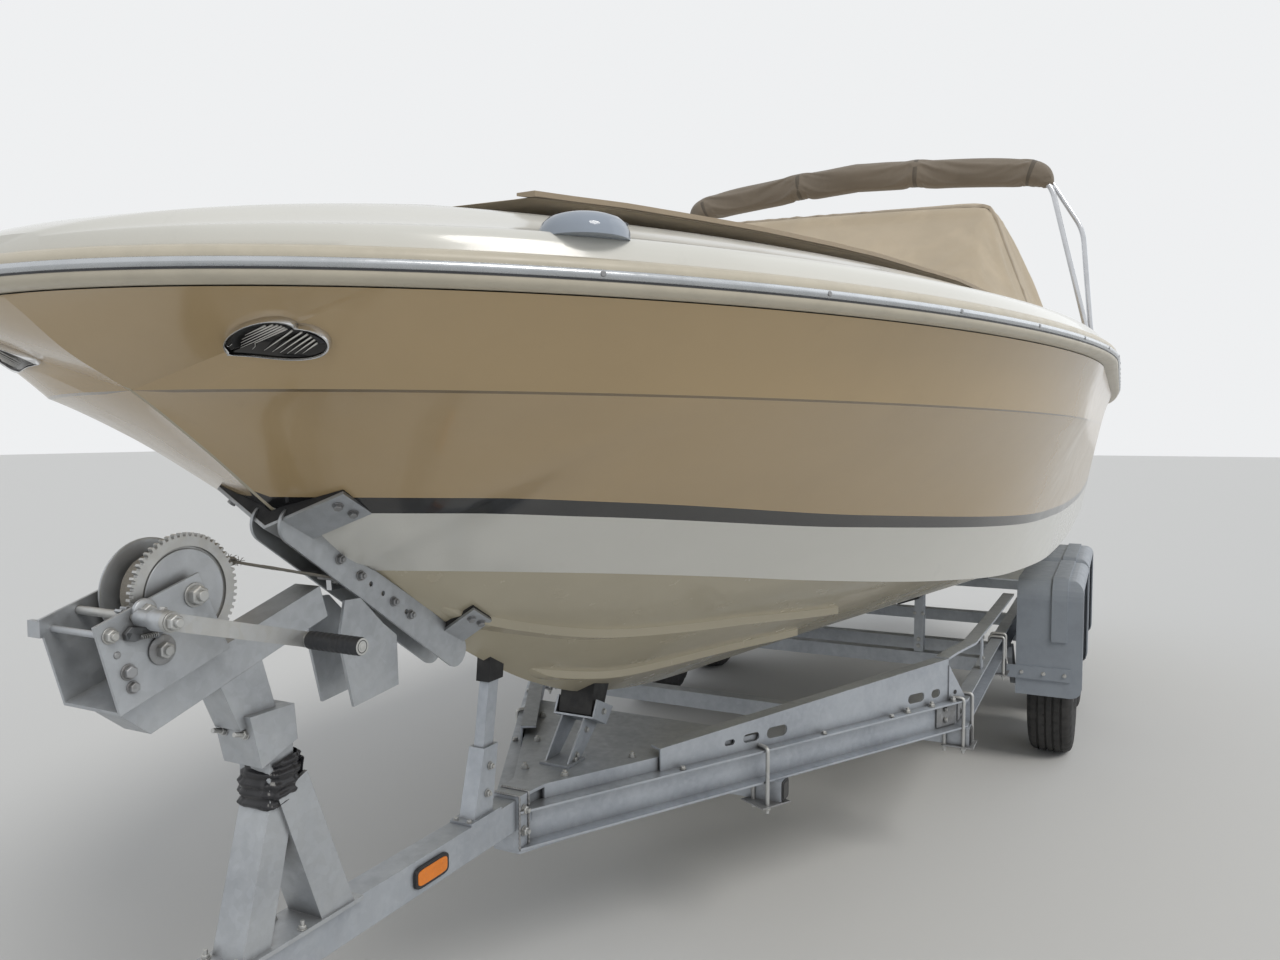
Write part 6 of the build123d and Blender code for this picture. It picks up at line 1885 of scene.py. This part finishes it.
# Jockey: clamp bolts with a bent handle, a grip on the crank and a collar on the tube
JOCKEY_STATION = -0.52
JOCKEY_Y = 0.078
jockey = Shape()
for z in (0.493, 0.527):
    jockey.bolt(at(JOCKEY_STATION, -0.0382, z), (0, -1, 0), 0.011, zinc, thread=0.012)
handle_run = [at(JOCKEY_STATION, -0.045, 0.51), at(JOCKEY_STATION, -0.085, 0.51), at(-0.45, -0.1, 0.51)]
jockey.tube(rounded(handle_run, 0.02), 0.0055, zinc, 12)
for z, reach, tall in ((0.78, 0.0345, 0.02), (0.445, 0.034, 0.016)):
    collar = [(0.0302, 0), (reach, 0), (reach, tall), (0.0302, tall)]
    jockey.lathe(collar, at(JOCKEY_STATION, JOCKEY_Y, z), (0, 0, 1), steel_old, 40)
grip_run = [
    (0, 0), (0.012, 0), (0.0138, 0.004), (0.0145, 0.018), (0.0138, 0.036), (0.0145, 0.052), (0.012, 0.0585),
    (0, 0.0595),
]
jockey.lathe(grip_run, at(-0.402, JOCKEY_Y, 0.832), (0, 0, 1), black_plastic, 28)
jockey.fitting("jockey_trim")
tread = Shape()
tread_rows = []
for k in range(97):
    a = 2 * pi * k / 96
    row = []
    for r, y in (
        (0.088, -0.0302), (0.0965, -0.027), (0.1, -0.018), (0.0985, -0.006), (0.0985, 0.006), (0.1, 0.018),
        (0.0965, 0.027), (0.088, 0.0302),
    ):
        radius = r - (0.0014 if k % 6 < 2 and r > 0.095 else 0)
        row.append(at(-0.486 + radius * cos(a), JOCKEY_Y + y, 0.1 + radius * sin(a)))
    tread_rows.append(row)
tread.grid(tread_rows, tread_grey, around=True)
tread.piece("jockey_tread", "jockey_wheel", smooth=30, slot="black_rubber")

# Coupling: bolts through its neck and a sleeve on the lever; its rubber bellows is not made here
coupling = Shape()
for s in (-0.78, -0.7):
    for side in (1, -1):
        coupling.bolt(at(s - 0.07, 0.0345 * side, 0.51), (0, side, 0), 0.011, zinc, thread=0.005)
lever = [(-1.004, 0.5405), (-0.96, 0.5585), (-0.915, 0.5752), (-0.878, 0.5865)]
coupling.tube(
    [at(s, 0, z) for s, z in lever], [0.0135, 0.0148, 0.0148, 0.0138], black_plastic, 20, flat=0.75
)
coupling.piece("coupling_trim", bevel=0.0004, slot="coupling_casting")

# The camera stands where the photograph was taken, ahead of the bow on the port side
LENS = 27
CAMERA_PLACE = Vector((3.739, 1.3, 1.43 + FRAME_LIFT))
CAMERA_TURN = radians(26.57)
CAMERA_PITCH = radians(2.98)
camera_data = bpy.data.cameras.new("camera")
camera_data.lens = LENS
camera_data.sensor_width = 36
camera_data.clip_start = 0.02
camera = bpy.data.objects.new("camera", camera_data)
bpy.context.scene.collection.objects.link(camera)
look = Vector((
    -cos(CAMERA_TURN) * cos(CAMERA_PITCH), -sin(CAMERA_TURN) * cos(CAMERA_PITCH), -sin(CAMERA_PITCH)
))
camera.location = CAMERA_PLACE
camera.rotation_euler = look.to_track_quat("-Z", "Y").to_euler()
bpy.context.scene.camera = camera


# Floor, backdrop and light
def plain_surface(name, colour):
    material = bpy.data.materials.new(name)
    material.use_nodes = True
    fill(material.node_tree.nodes["Principled BSDF"], {"Base Color": (*colour, 1), "Roughness": 0.9})
    return material


floor_mesh = bpy.data.meshes.new("floor")
floor_mesh.from_pydata([(-60, -60, 0), (60, -60, 0), (60, 60, 0), (-60, 60, 0)], [], [(0, 1, 2, 3)])
floor_mesh.materials.append(plain_surface("floor_paint", (0.62, 0.62, 0.61)))
floor = bpy.data.objects.new("floor", floor_mesh)
bpy.context.scene.collection.objects.link(floor)

world = bpy.data.worlds.new("studio")
bpy.context.scene.world = world
world.use_nodes = True
world_tree = world.node_tree
sky = world_tree.nodes["Background"]
fill(sky, {"Strength": 0.62, "Color": (0.93, 0.96, 1.0, 1)})
pale = world_tree.nodes.new("ShaderNodeBackground")
fill(pale, {"Strength": 1.0, "Color": (0.86, 0.87, 0.88, 1)})
path = world_tree.nodes.new("ShaderNodeLightPath")
seen = path.outputs["Is Camera Ray"]
for ray in ("Is Transmission Ray", "Is Glossy Ray"):
    larger = world_tree.nodes.new("ShaderNodeMath")
    larger.operation = "MAXIMUM"
    world_tree.links.new(seen, larger.inputs[0])
    world_tree.links.new(path.outputs[ray], larger.inputs[1])
    seen = larger.outputs[0]
chosen = world_tree.nodes.new("ShaderNodeMixShader")
world_tree.links.new(seen, chosen.inputs[0])
world_tree.links.new(sky.outputs[0], chosen.inputs[1])
world_tree.links.new(pale.outputs[0], chosen.inputs[2])
world_tree.links.new(chosen.outputs[0], world_tree.nodes["World Output"].inputs["Surface"])


def sun(name, towards, strength, spread, colour=(1, 1, 1)):
    light = bpy.data.lights.new(name, "SUN")
    light.energy = strength
    light.angle = radians(spread)
    light.color = colour
    item = bpy.data.objects.new(name, light)
    item.rotation_euler = Vector(towards).to_track_quat("-Z", "Y").to_euler()
    bpy.context.scene.collection.objects.link(item)


sun("key", (-0.35, -0.62, -0.75), 1.25, 22, (1, 0.97, 0.92))
sun("fill", (0.6, -0.5, -0.35), 0.35, 60, (0.92, 0.96, 1))
bpy.context.scene.view_settings.view_transform = "Standard"
